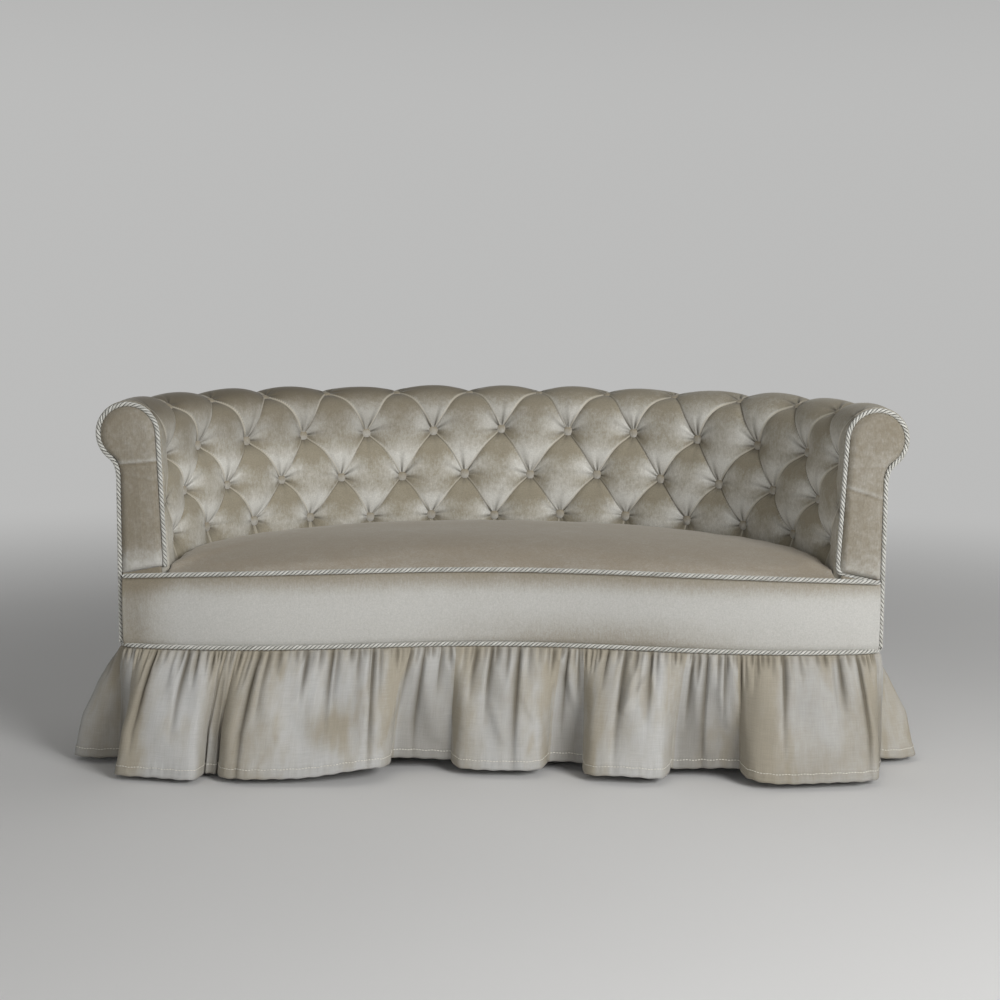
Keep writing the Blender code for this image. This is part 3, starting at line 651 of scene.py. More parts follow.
# %% The mesh of the back, closed behind
EASE = 0.25 * 0.0325
RAIL_TOP_Z = ROLL_Z - 0.08 * ROLL_R
BACK_SIDE = [
    (FRAME_OUT + GAP, NECK_Z),
    (FRAME_OUT + GAP, RAIL_TOP_Z - EASE),
    (FRAME_OUT - EASE, RAIL_TOP_Z + GAP),
    (FRAME_IN + EASE, RAIL_TOP_Z + GAP),
    (PAD_BACK, RAIL_TOP_Z - EASE),
    (PAD_BACK, SEAT_EDGE + 2 * GAP),
]
hidden = np.stack([body3(COLS * PITCH, u, z) for u, z in BACK_SIDE], axis=1)
ring = np.concatenate([back_grid, hidden], axis=1)
size = ring.shape[1]


def crease_split(face):
    """Cuts a quad in two along the pleat, where one runs through it."""
    i, j = divmod(face[0], size)
    k = j - len(below)
    if not 0 <= k < 3 * CELLS or face[1] != face[0] + 1:
        return [face]
    if (i - COLUMNS * CELLS + k + 1) % (2 * CELLS) == 0:
        return [(face[0], face[1], face[3]), (face[1], face[2], face[3])]
    if (i - COLUMNS * CELLS - k) % (2 * CELLS) == 0:
        return [(face[0], face[1], face[2]), (face[0], face[2], face[3])]
    return [face]


whole = grid_faces(*ring.shape[:2], close_columns=True)
faces = [part for face in whole for part in crease_split(face)] + end_caps(*ring.shape[:2])
print("faces of the back:", len(faces))

# %% [markdown]
# The pleats and the small wrinkles that fan out of every button are finer than the mesh. The mesh carries
# its lattice column and row as a UV map, and this group works out, for each point, how far it is from the
# nearest pleat and the nearest button. From these the material paints a highlight on each pleat's lip and
# shade in its groove, in the wrinkles and in a halo round each button.

# %% The pleat group
def pleat_group():
    outs = ("Rising", "Falling", "Groove", "Wrinkle", "Shade", "Column", "Crown")
    outs = [(name, "Float") for name in outs]
    tree, given, result = new_tree("pleats and buttons", "ShaderNodeTree", [("Lattice", "Vector")], outs)
    split = add_node(tree, "ShaderNodeSeparateXYZ", {0: given["Lattice"]}).outputs
    col = Value(split[0])
    row = Value(split[1])
    half = clamped(row, 0.0, 3.0) * 0.5
    p = col + half
    q = col - half
    p0 = p.to("ROUND")
    q0 = q.to("ROUND")
    from_p = (p - p0) * PLEAT_STEP
    from_q = (q0 - q) * PLEAT_STEP
    across = (col - (p0 + q0) * 0.5) * PITCH
    along = (row - (p0 - q0)) * ROW_UNIT
    far = (across * across + along * along).to("SQRT")
    angle = along.to("ARCTAN2", across)
    raised = angle.to("SINE")

    def line(gap, middle, width):
        return ramp((gap - middle).to("ABSOLUTE"), 0.0, width, 1.0, 0.0)

    start = p0 * 1.93 + q0 * 2.71
    coarse = (angle * 7.0 + start + far * 28.0).to("SINE")
    fine = (angle * 13.0 + start * 2.3).to("SINE")
    fall = (far * -48.0).to("EXPONENT") * ramp(far, 0.004, 0.012) * (raised * 0.45 + 0.75)
    groove = line(from_p, -0.0006, 0.0028).to("MAXIMUM", line(from_q, -0.0010, 0.0020))
    crown = ramp(row, 2.5, 3.05) * 0.5 + ramp(row, 1.5, 2.3) * 0.5
    fill(result, {"Rising": line(from_q, 0.0014, 0.0025), "Falling": line(from_p, 0.0014, 0.0025)})
    fill(result, {"Groove": groove, "Wrinkle": (fine * 0.55 + coarse) * fall, "Column": col})
    fill(result, {"Shade": ramp(far, 0.007, 0.030, 1.0, 0.0) * (raised * -0.42 + 0.58)})
    fill(result, {"Crown": crown * ramp(row, 3.25, 4.1, 1.0, 0.15)})
    return tree


PLEATS = pleat_group()
print("group made:", PLEATS.name)

# %% Velvet with pleats
BACK_BEIGE, BACK_SILVER = (0.318, 0.284, 0.214, 1.0), (0.690, 0.682, 0.640, 1.0)
CROWN_TONE, SHADE_TONE = (0.110, 0.090, 0.060, 1.0), (0.100, 0.090, 0.070, 1.0)
LIP_HIGHLIGHT_TONE = (0.62, 0.575, 0.475, 1.0)
VELVET_BACK, tree, shader, pile = velvet("buttoned velvet", 0.50, 0.62, BACK_BEIGE, BACK_SILVER)
lattice = add_node(tree, "ShaderNodeUVMap", uv_map="lattice").outputs[0]
pleats = add_node(tree, "ShaderNodeGroup", {"Lattice": lattice}, node_tree=PLEATS).outputs
pleats = {socket.name: Value(socket) for socket in pleats}
# Painted highlight and shade: a highlight on each pleat's lip, and shade in its groove, in the wrinkles and
# round the buttons. Towards the right the groove shade grows and one family of lip highlights fades.
to_right = ramp(pleats["Column"], -3.0, 3.0)
pleat_shade = pleats["Groove"] * (to_right * 0.20 + 0.24)
lip_highlight = (pleats["Rising"] * 0.60).to("MAXIMUM", pleats["Falling"] * (to_right * -0.40 + 0.58))
wrinkle_shade = (pleats["Wrinkle"] * -1.0).to("MAXIMUM", 0.0) * 0.9
dark = clamped(pleats["Shade"] * 0.50 + wrinkle_shade + pleat_shade, 0.0, 0.85)
colour = mix(pleats["Crown"] * (to_right * -0.58 + 0.82), pile["Color"], CROWN_TONE)
colour = mix(lip_highlight, mix(dark, colour, SHADE_TONE), LIP_HIGHLIGHT_TONE)
fill(shader, {"Base Color": colour})
height = pleats["Wrinkle"] * 0.0020 + pile["Height"]
set_bump(shader, height + lip_highlight * 0.0012 + pleat_shade * -0.0014)
print("pleats added to", VELVET_BACK.name)

# %% The back as a piece
def pile_and_light_round_buttons(col, row):
    """Pale pile above each button, painted highlight left of it, painted shade below, painted light at right.
    """
    v = row_to_profile(row)
    pale = np.zeros(np.shape(col))
    warm = np.zeros(np.shape(col))
    for c, r in SPOTS:
        side = (col - c) * PITCH
        up = v - ROW_AT[r]
        far = np.maximum(np.hypot(side, up), 1e-6)
        if r < 3:
            over = unit(0.50 + 0.70 * up / far - 0.25 * side / far)
            pale = np.maximum(pale, over * hump(far, 0.042, 1.6))
        warm = np.maximum(warm, unit(-up / far) * hump(far, 0.052))
    # A painted light brightens the right part of the back.
    painted_light_right = 0.11 * hump(col - 2.9, 1.3)
    return 0.58 * pale - 0.34 * warm + painted_light_right


buttoned = make_piece("buttoned_velvet", ring, faces, VELVET_BACK)
seen = slice(0, len(ROWS))
lattice_uv = np.zeros((*ring.shape[:2], 2))
lattice_uv[:, :, 0] = COLS[:, None]
lattice_uv[:, :, 1] = ROWS[-1]
lattice_uv[:, seen, 1] = ROWS
set_uv(buttoned, "lattice", lattice_uv)
start = np.full(ring.shape[:2], 0.34)
leaning = np.interp(lattice_place(col_grid, row_grid)[1], PROFILE_AT, PROFILE_OUT[:, 1])
start[:, seen] = 0.34 + 0.85 * leaning + pile_and_light_round_buttons(col_grid, row_grid)
set_nap(buttoned, start.ravel(), 1.15)
settle(buttoned, "velvet", "buttoned_back")

# %% [markdown]
# ## The covered buttons
# Fifty buttons sit at the corners of the diamonds, each a small dome covered in the same velvet. That is a
# job for Geometry Nodes: one dome, set on every point, turned to face the way the padding faces there.

# %% Geometry helpers
GEOMETRY = ("Geometry", "Geometry")


def geometry(tree, kind, values, **settings):
    return add_node(tree, "GeometryNode" + kind, values, **settings).outputs[0]


def named(tree, name):
    return geometry(tree, "InputNamedAttribute", {"Name": name}, data_type="FLOAT_VECTOR")


def bead(tree, segments, rings, sizes):
    ball = geometry(tree, "MeshUVSphere", {"Segments": segments, "Rings": rings, "Radius": 1.0})
    size = add_node(tree, "ShaderNodeCombineXYZ", dict(enumerate(sizes))).outputs[0]
    return geometry(tree, "Transform", {"Geometry": ball, "Scale": size})


def hand_out(tree, grown, given, result, smooth=True):
    """Makes plain mesh of what a tree has grown, gives it its material and hands it out."""
    grown = geometry(tree, "RealizeInstances", {"Geometry": grown})
    if smooth:
        grown = geometry(tree, "SetShadeSmooth", {"Geometry": grown})
    grown = geometry(tree, "SetMaterial", {"Geometry": grown, "Material": given["Material"]})
    fill(result, {"Geometry": grown})
    return tree


def grow(name, points, edges, tree, values, surface, marks=None):
    """Runs a tree on a row of points and hands back the plain mesh that it grew, as a new object."""
    mesh = bpy.data.meshes.new(name)
    mesh.from_pydata(np.asarray(points, dtype=float).tolist(), edges, [])
    for label, numbers in (marks or {}).items():
        mark = mesh.attributes.new(label, "FLOAT_VECTOR", "POINT")
        mark.data.foreach_set("vector", np.asarray(numbers, dtype=np.float32).ravel())
    seed = link_piece(name + "_points", mesh)
    grower = seed.modifiers.new(tree.name, "NODES")
    grower.node_group = tree
    keys = {s.name: s.identifier for s in tree.interface.items_tree if s.in_out == "INPUT"}
    for label, value in {**values, "Material": surface}.items():
        grower[keys[label]] = value
    ready = seed.evaluated_get(bpy.context.evaluated_depsgraph_get())
    grown = bpy.data.meshes.new_from_object(ready)
    seed.modifiers.clear()
    bpy.data.objects.remove(seed, do_unlink=True)
    grown.name = name
    grown.materials.clear()
    grown.materials.append(surface)
    return link_piece(name, grown)


print("geometry helpers ready")

# %% Buttons
def button_tree():
    ins = [GEOMETRY, ("Radius", "Float", 0.0112), ("Dome", "Float", 0.0056), ("Seed", "Int", 4)]
    ins += [("Material", "Material")]
    tree, given, result = new_tree("covered buttons", "GeometryNodeTree", ins, [GEOMETRY])
    dome = bead(tree, 18, 10, (given["Radius"], given["Radius"], given["Dome"]))
    turned = {"Vector": named(tree, "facing")}
    turned = add_node(tree, "FunctionNodeAlignRotationToVector", turned, axis="Z").outputs[0]
    vary = {2: 0.93, 3: 1.06, "Seed": given["Seed"]}
    vary = add_node(tree, "FunctionNodeRandomValue", vary, data_type="FLOAT").outputs[1]
    many = {"Points": given["Geometry"], "Instance": dome, "Rotation": turned, "Scale": vary}
    return hand_out(tree, geometry(tree, "InstanceOnPoints", many), given, result)


spot_col = np.array([c for c, r in SPOTS])
spot_row = np.array([float(r) for c, r in SPOTS])
ell, v = lattice_place(spot_col, spot_row)
tilt = [np.interp(v, PROFILE_AT, part) for part in PROFILE_OUT.T]
facing = body3(ell, *tilt) - body3(ell, 0.0, 0.0)
facing /= np.linalg.norm(facing, axis=1)[:, None]
lift = np.where(spot_row > 2.5, -0.0015, 0.0030)[:, None]
button_at = back_point(spot_col, spot_row) + lift * facing
buttons = grow("covered_buttons", button_at, [], button_tree(), {}, VELVET_BUTTON, {"facing": facing})
set_nap(buttons, 0.42, 0.55)
settle(buttons, "velvet")
print("buttons:", len(button_at))

# %% [markdown]
# ## The seat
# The seat is one stuffed pad over springs, highest in the middle. It starts as a smooth crowned solid, is
# rebuilt in even cells and is then blown up a little as cloth with its edge held, so that its skin takes
# the uneven tightness of real stuffing. How far any point may move is capped.

# %% Puffing a pad with cloth
FRAMES = 20
PRESSURE = 4.0


def blow_up(piece, still):
    """Runs the cloth and hands back where its points end. Points that are still are held."""
    pins = piece.vertex_groups.new(name="held")
    pins.add(np.flatnonzero(still).tolist(), 1.0, "REPLACE")
    cloth = piece.modifiers.new("cloth", "CLOTH")
    cloth.settings.quality = 4
    cloth.settings.use_pressure = True
    cloth.settings.uniform_pressure_force = PRESSURE
    cloth.settings.vertex_group_mass = "held"
    cloth.settings.tension_stiffness = 12.0
    cloth.settings.compression_stiffness = 12.0
    cloth.settings.bending_stiffness = 0.6
    cloth.settings.effector_weights.gravity = 0.0
    cloth.collision_settings.use_collision = False
    cloth.collision_settings.use_self_collision = False
    cloth.point_cache.frame_start = 1
    cloth.point_cache.frame_end = FRAMES
    for number in range(1, FRAMES + 1):
        scene.frame_set(number)
    ready = piece.evaluated_get(bpy.context.evaluated_depsgraph_get())
    after = points_of(ready.data)
    piece.modifiers.clear()
    piece.vertex_groups.clear()
    scene.frame_set(1)
    return after


def puff(piece, voxel, cap, held):
    """Rebuilds a closed pad in even cells and swells it as cloth; held(points) says which points stay."""
    remake = piece.modifiers.new("even cells", "REMESH")
    remake.mode = "VOXEL"
    remake.voxel_size = voxel
    remake.use_smooth_shade = True
    ready = piece.evaluated_get(bpy.context.evaluated_depsgraph_get())
    mesh = bpy.data.meshes.new_from_object(ready)
    piece.modifiers.clear()
    surface = piece.data.materials[0]
    piece.data = mesh
    mesh.materials.clear()
    mesh.materials.append(surface)
    before = points_of(mesh)
    still = held(before)
    after = blow_up(piece, still)
    move = after - before
    far = np.linalg.norm(move, axis=1)
    scale = np.minimum(1.0, cap / np.maximum(far, 1e-9)) * (1.0 - still)
    mesh.vertices.foreach_set("co", (before + move * scale[:, None]).ravel())
    shape = bmesh.new()
    shape.from_mesh(mesh)
    every_way = {"factor": 0.5, "use_axis_x": True, "use_axis_y": True, "use_axis_z": True}
    for _ in range(2):
        bmesh.ops.smooth_vert(shape, verts=shape.verts, **every_way)
    for _ in range(4):
        top = [spot for spot in shape.verts if spot.normal.z > 0.94]
        bmesh.ops.smooth_vert(shape, verts=top, **every_way)
    shape.to_mesh(mesh)
    shape.free()
    mesh.shade_smooth()
    print(piece.name, "cells:", len(before), "largest move:", round(float((far * scale).max()), 4))


print("puffing ready")

# %% The rings of the seat pad
SEAT_END_X = abs(body(HALF, -PAD_FACE)[0]) + 0.012
SEAT_LOW = SEAT_EDGE + GAP
BACK_Y = float(np.max(body(np.linspace(-0.3, 0.3, 61), -0.0206)[1]))
SPINE_Y = FRONT_Y + 0.38 * (BACK_Y - FRONT_Y)


def seat_edge_z(x):
    return SEAT_EDGE + SEAT_RISE * (1.0 - np.minimum(np.abs(x) / CORNER_X, 1.0) ** 4)


edge_x = np.linspace(-SEAT_END_X + 0.002, SEAT_END_X - 0.002, 150)
edge_ell = np.linspace(HALF, -HALF, 220)
edges = [front(edge_x, 0.0), body(edge_ell, -PAD_FACE - 3 * GAP)]
outline = np.vstack([np.stack(edge, axis=1) for edge in edges])
at_back = np.arange(len(outline)) >= len(edge_x)
reach = np.concatenate([np.zeros(len(edge_x)), np.abs(edge_ell) / HALF])
back_z = 0.4290 - 0.012 * reach**2 - 0.010 * ease((reach - 0.86) / 0.14)
edge_top = np.where(at_back, back_z, seat_edge_z(outline[:, 0]))
spine = np.stack([np.clip(0.62 * outline[:, 0], -0.42, 0.42), np.full(len(outline), SPINE_Y)], axis=1)
steps = [(0.0, 0.0), (0.0, 0.7), (0.0015, 0.94), (0.006, 1.0)]
steps += [(f, 1.0) for f in np.concatenate([np.linspace(0.03, 0.2, 9), np.linspace(0.24, 0.96, 22)])]
seat_rings = []
for inset, lift in steps:
    flat = outline + (spine - outline) * inset
    climb = np.where(at_back, 1 - (1 - inset) ** 3, 1 - (1 - inset) ** 2.6)
    crown = SEAT_EDGE + SEAT_RISE + SEAT_CROWN - 0.020 * np.abs(flat[:, 0] / 0.65) ** 2.5
    high = SEAT_LOW + lift * (edge_top - SEAT_LOW) + (crown - edge_top) * climb
    seat_rings.append(np.column_stack([flat, high]))
seat_points = np.stack(seat_rings)
print("rings of the seat:", len(steps))

# %% The seat pad
# The last ring is closed by a strip of triangles from its front half to its back half.
seat_faces = grid_faces(*seat_points.shape[:2], close_columns=True)
seat_faces.append(list(range(len(outline))))
cap = (len(steps) - 1) * len(outline)
near, far = 0, len(outline) - 1
BEYOND = 9.0
while near < len(edge_x) - 1 or far > len(edge_x):
    next_near = seat_points[-1, near + 1, 0] if near < len(edge_x) - 1 else BEYOND
    next_far = seat_points[-1, far - 1, 0] if far > len(edge_x) else BEYOND
    if next_near <= next_far:
        seat_faces.append((cap + near, cap + near + 1, cap + far))
        near += 1
    else:
        seat_faces.append((cap + near, cap + far - 1, cap + far))
        far -= 1
seat = make_piece("seat_cushion", seat_points, seat_faces, VELVET_SEAT)


def seat_held(points):
    return np.where(points[:, 2] < SEAT_LOW + 0.013, 1.0, 0.0)


puff(seat, 0.0075, 0.006, seat_held)
set_nap(seat, 0.72, 0.60)
settle(seat, "velvet", "seat_pad")

# %% [markdown]
# ## The front border
# Below the seat edge a padded band runs from corner to corner. Its face swells between the two cords that
# hold it. At both ends it also carries the small corner of the seat in front of the arm.

# %% Depth of the border
BORDER_LOW, BORDER_BACK = BODY_LOW - 0.005, 0.0035
left_end = np.linspace(-CORNER_X + GAP, -SEAT_END_X, 26)[:-1]
right_end = np.linspace(SEAT_END_X, CORNER_X - GAP, 26)[1:]
border_x = np.concatenate([left_end, np.linspace(-SEAT_END_X, SEAT_END_X, 330), right_end])
arm_tip = np.array(body(HALF, 0.0))
arm_way = (np.array(body(HALF + 0.01, 0.0)) - arm_tip) / 0.01


def arm_gap(x, y):
    return (np.abs(x) - arm_tip[0]) * arm_way[0] + (y - arm_tip[1]) * arm_way[1]


start_gap = arm_gap(*front(border_x, 0.0))
lost = (start_gap - arm_gap(*front(border_x, -0.01))) / 0.01
corner_depth = (start_gap - PANEL_THICK - 2 * GAP) / np.maximum(lost, 0.2)
border_deep = np.where(np.abs(border_x) < SEAT_END_X, 0.028, np.maximum(corner_depth, 0.0015))
print("border at its deepest:", round(float(border_deep.max()), 4), "m")

# %% Border
ends = ease((CORNER_X - np.abs(border_x)) / 0.06)
edge_z = seat_edge_z(border_x)
border_rows = []
for part in np.linspace(0.0, 1.0, 33):
    tuck = 0.0035 * (hump(part, 0.05) + hump(1 - part, 0.05))
    swell = 0.0085 * np.sin(math.pi * part) ** 0.7 * (0.25 + 0.75 * ends) - tuck
    wander = 0.0010 * np.sin(9.1 * border_x + 2.0 * part) + 0.0007 * np.sin(23.0 * border_x + 1.3)
    x, y = front(border_x, swell + wander * np.sin(math.pi * part))
    high = BORDER_LOW + part * (edge_z - CORD_R * 0.4 - BORDER_LOW)
    border_rows.append(np.column_stack([x, y, high]))
outer_corner = np.abs(border_x) > SEAT_END_X
inner_part = unit((CORNER_X - np.abs(border_x)) / (CORNER_X - SEAT_END_X))
left_slope = 0.004 + 0.012 * unit(border_deep / 0.012)
for part in (0.06, 0.2, 0.4, 0.6, 0.8, 1.0):
    x, y = front(border_x, -border_deep * part - BORDER_BACK)
    slope = part * np.where(border_x < 0, left_slope, 0.015 * inner_part - 0.006)
    high = np.where(outer_corner, edge_z + slope, SEAT_EDGE - 0.001)
    border_rows.append(np.column_stack([x, y, high]))
border_rows.append(np.column_stack([x, y, np.full(len(x), BORDER_LOW)]))
border_points = np.stack(border_rows, axis=1)
border = make_piece("front_border", border_points, tube_faces(*border_points.shape[:2]), VELVET_BORDER)
along_x, _, high = border_points.reshape(-1, 3).T
level = (high - BORDER_LOW) / (SEAT_EDGE + SEAT_RISE - BORDER_LOW)
border_nap_and_shade = np.interp(level, [0.0, 0.12, 0.50, 0.68, 0.87, 1.0], [0.80, 0.92, 1.00, 0.84, 0.34, 0.12])
border_nap_and_shade -= 0.52 * hump(along_x - 0.20, 0.29) * unit(1.15 - level / 0.55)
# The left end of the border gets a painted shade.
border_nap_and_shade -= 0.55 * unit((-0.610 - along_x) / 0.09)
set_number(border, "nap", unit(border_nap_and_shade))
settle(border, "velvet", "seat_border")

# %% [markdown]
# ## Arm fronts
# Each arm ends in a flat front, cut to the outline of the scroll, padded and covered. The outline is
# evened out, drawn in towards a spine ring by ring, and raised to a soft cushion with old creases across
# it under the scroll.

# %% Arm front outline
PANEL_OUTER_LOW, PANEL_INNER_LOW = 0.387, 0.402
INNER_SIDE = PROFILE[:241]


def inner_u(z):
    return np.interp(z, INNER_SIDE[:, 1], INNER_SIDE[:, 0])


def front_outline(inset, count=240):
    radius = ROLL_R - inset
    side = -inset - GAP
    points = [(side, z) for z in np.linspace(PANEL_OUTER_LOW, NECK_Z - 0.030, 12)]
    points += [(side, NECK_Z - 0.016), (side + 0.0035, NECK_Z - 0.002)]
    for way in np.radians(np.linspace(-62.0, 172.0, 90)):
        points.append((-ROLL_IN + radius * math.cos(way), ROLL_Z + radius * math.sin(way)))
    for z in [*np.linspace(0.60, PANEL_INNER_LOW + 0.004, 40), PANEL_INNER_LOW]:
        points.append((inner_u(z) + inset, z))
    shut = np.array(points + points[:1])
    return evened(respaced(shut, count, closed=True), 3, closed=True)


EDGE = front_outline(PANEL_INSET)
spine_z = np.round(np.clip(EDGE[:, 1], PANEL_INNER_LOW + 0.030, ROLL_Z) / 0.004) * 0.004
spine_u = np.interp(spine_z, [PANEL_INNER_LOW, 0.58, 0.61, ROLL_Z], [-0.054, -0.046, -0.040, -ROLL_IN])
SPINE = np.stack([spine_u, spine_z], axis=1)
print("arm front outline points:", len(EDGE))

# %% Arm front pieces
# The left arm is -1 and the right arm 1. A crease is its level, its slant and its strength.
FRONT_CREASES_AT = {
    -1: [(0.600, -0.10, 0.85), (0.572, 0.15, 0.20)],
    1: [(0.553, -0.30, 0.60), (0.603, 0.05, 0.15)],
}
CREASE_DEPTH = 0.0080
# OUTER_SHADE paints shade along the outer side of each front, more on the left arm.
PALE_FOOT, OUTER_SHADE = {-1: 0.50, 1: 0.28}, {-1: 1.6, 1: 0.4}


def arm_front(name, side, node):
    rings = []
    for f in np.concatenate([[0.0, 0.0], np.linspace(0.02, 0.30, 12), np.linspace(0.36, 1.0, 16)]):
        flat = EDGE + (SPINE - EDGE) * f
        full = 1 - np.maximum(0.0, 1 - f / 0.34) ** 2.4
        crease = np.zeros(len(EDGE))
        for level, lean, strong in FRONT_CREASES_AT[side]:
            gap = flat[:, 1] - level - lean * (flat[:, 0] + 0.05)
            crease += strong * np.exp(-np.abs(gap) / np.where(gap > 0, 0.0022, 0.0060))
        deep = PANEL_THICK * (0.42 + 0.58 * full) + 0.0030 * f - CREASE_DEPTH * crease * full
        if not rings:
            deep = np.full(len(EDGE), GAP)
        rings.append(body3(side * (HALF + deep), flat[:, 0], flat[:, 1]))
    faces = grid_faces(len(rings), len(EDGE), close_columns=True)
    faces.append(list(range(len(EDGE))))
    piece = make_piece(name, np.stack(rings), faces, VELVET_PANEL, weld=0.00005)
    x, _, high = points_of(piece.data).T
    across = np.abs(x) - HALF_WIDTH + 0.05
    panel_nap_and_shade = 0.21 + PALE_FOOT[side] * unit((0.445 - high) / 0.035) - OUTER_SHADE[side] * (across + 0.01)
    # Each crease gets a painted shade on its line and a painted highlight just above it.
    for level, lean, strong in FRONT_CREASES_AT[side]:
        gap = high - level - lean * across
        panel_nap_and_shade += strong * 0.34 * (hump(gap - 0.006, 0.0050) - hump(gap, 0.0026))
    set_number(piece, "nap", unit(panel_nap_and_shade))
    settle(piece, "velvet", node)


arm_front("left_arm_front", -1, "left_arm_panel")
arm_front("right_arm_front", 1, "right_arm_panel")

# %% [markdown]
# ## The outside
# Plain velvet is pulled tight from under the roll down to the rails, all round the back. Only small
# shadows of the uprights and a slight hollow between them show.

# %% Outside cover
POST_SPACE, PULL_SPACE = 0.36, 0.037
ee, pp = np.meshgrid(np.linspace(-HALF, HALF, 430), np.linspace(0.0, 1.0, 44), indexing="ij")
sunk = 0.0022 * np.sin(math.pi * pp) * (1 - np.cos(2 * math.pi * ee / POST_SPACE)) / 2
pull = 0.0009 * np.exp(-(1 - pp) / 0.10) * np.sin(2 * math.pi * ee / PULL_SPACE + 3 * np.sin(7 * ee))
turn_in = 0.0020 * (hump(pp, 0.02) + hump(1 - pp, 0.02))
end_in = 0.0020 * hump(HALF - np.abs(ee), 0.006)
cover_z = BODY_LOW - 0.005 + pp * (NECK_Z + 0.0045 - BODY_LOW)
cover_out = body3(ee, -sunk + pull - turn_in - end_in, cover_z)
cover_in = body3(ee, np.full(ee.shape, -0.0042), cover_z)
cover_ring = np.concatenate([cover_out, cover_in[:, ::-1]], axis=1)
outside = make_piece("outside_velvet", cover_ring, tube_faces(*cover_ring.shape[:2]), VELVET_OUTSIDE)
set_number(outside, "nap", np.full(len(outside.data.vertices), 0.62))
settle(outside, "velvet", "outside_cover")

# %% [markdown]
# ## Twisted cord
# Three strands are laid round each other, and the cord is sewn along every edge. A Geometry Nodes tree
# follows the path, throws each strand round it in a helix and gives it a round section. Each strand keeps
# its length and its way round as attributes, so the material can draw its threads.

# %% Cord material
def cord_material():
    made, tree, shader = new_material("twisted cord")
    where = object_place(tree)
    lay = stored(tree, "along") * 330.0 + stored(tree, "around") * 37.7
    thread = lay.to("SINE") * 0.5 + 0.5
    wear = noise(where, 55.0, 3.0, 0.6)
    fibre = noise(where, 1400.0, 1.0, 0.6)
    mixed = (wear - 0.5) * 0.9 + stored(tree, "tone")
    colour = mix(mixed, (0.36, 0.35, 0.300, 1.0), (0.71, 0.705, 0.66, 1.0))
    shade = thread * 0.22 + 0.80 + (fibre - 0.5) * 0.30
    # Painted shade in the grooves between the strands, where points lie near the cord's axis.
    shade = shade * ramp(stored(tree, "rim"), 0.66, 0.96, 0.14, 1.0)
    fill(shader, {"Base Color": shaded(colour, shade), "Roughness": ramp(thread, 0.0, 1.0, 0.62, 0.42)})
    set_sheen(shader, 0.15, 0.4, (0.95, 0.95, 0.92), specular=0.35)
    set_bump(shader, thread * 0.00025)
    return made


CORD = cord_material()
print("material made:", CORD.name)

# %% Cord tree
STRAND_TONES = (0.85, 0.60, 0.75)


def vector(tree, operation, values, out=0):
    return add_node(tree, "ShaderNodeVectorMath", values, operation=operation).outputs[out]


def keep(tree, grown, name, value, kind="FLOAT"):
    """Writes a number on each point of what has been grown so far."""
    values = {"Geometry": grown, "Name": name, "Value": value}
    return geometry(tree, "StoreNamedAttribute", values, data_type=kind)


def cord_tree():
    ins = [GEOMETRY, ("Radius", "Float", CORD_R), ("Lay", "Float", CORD_LAY), ("Step", "Float", 0.0018)]
    ins += [("Sides", "Int", 10), ("Material", "Material")]
    tree, given, result = new_tree("twisted cord", "GeometryNodeTree", ins, [GEOMETRY])
    radius = Value(given["Radius"])
    path = geometry(tree, "MeshToCurve", {"Mesh": given["Geometry"]})
    path = geometry(tree, "ResampleCurve", {"Curve": path, "Length": given["Step"]}, mode="LENGTH")
    far = tree.nodes.new("GeometryNodeSplineParameter").outputs["Length"]
    part = tree.nodes.new("GeometryNodeSplineParameter").outputs["Factor"]
    spot = geometry(tree, "InputPosition", {})
    side = geometry(tree, "InputNormal", {})
    third = vector(tree, "CROSS_PRODUCT", {0: geometry(tree, "InputTangent", {}), 1: side})
    circle = {"Resolution": given["Sides"], "Radius": radius * 0.500}
    section = keep(tree, geometry(tree, "CurvePrimitiveCircle", circle), "around", part)
    path = keep(tree, keep(tree, path, "along", far), "axis", spot, "FLOAT_VECTOR")
    turns = Value(far) / given["Lay"] * (2 * math.pi)
    helix = radius * 0.525
    joined = tree.nodes.new("GeometryNodeJoinGeometry")
    for number, tone in enumerate(STRAND_TONES):
        angle = number * 2 * math.pi / 3 - turns
        by_side = vector(tree, "SCALE", {0: side, "Scale": angle.to("COSINE") * helix})
        by_third = vector(tree, "SCALE", {0: third, "Scale": angle.to("SINE") * helix})
        off = vector(tree, "ADD", {0: by_side, 1: by_third})
        moved = geometry(tree, "SetPosition", {"Geometry": path, "Offset": off})
        tube = {"Curve": moved, "Profile Curve": section, "Fill Caps": True}
        fill(joined.inputs, {0: keep(tree, geometry(tree, "CurveToMesh", tube), "tone", tone)})
    from_axis = Value(vector(tree, "DISTANCE", {0: spot, 1: named(tree, "axis")}, "Value"))
    return hand_out(tree, keep(tree, joined.outputs[0], "rim", from_axis / radius), given, result)


CORD_TREE = cord_tree()


def twisted(name, path, node, closed=False):
    shut = np.vstack([path, path[:1]]) if closed else path
    whole = lengths(shut)[-1]
    lay = whole / round(whole / CORD_LAY)
    edges = [(k, k + 1) for k in range(len(path) - 1)]
    if closed:
        edges.append((len(path) - 1, 0))
    settle(grow(name, path, edges, CORD_TREE, {"Lay": lay}, CORD), "cord", node)
    print(name, "length", round(float(whole), 3), "m")


print("tree made:", CORD_TREE.name)

# %% Cord paths
def even_steps(path, step=0.004):
    count = max(2, int(lengths(path)[-1] / step))
    return evened(respaced(path, count), 6)


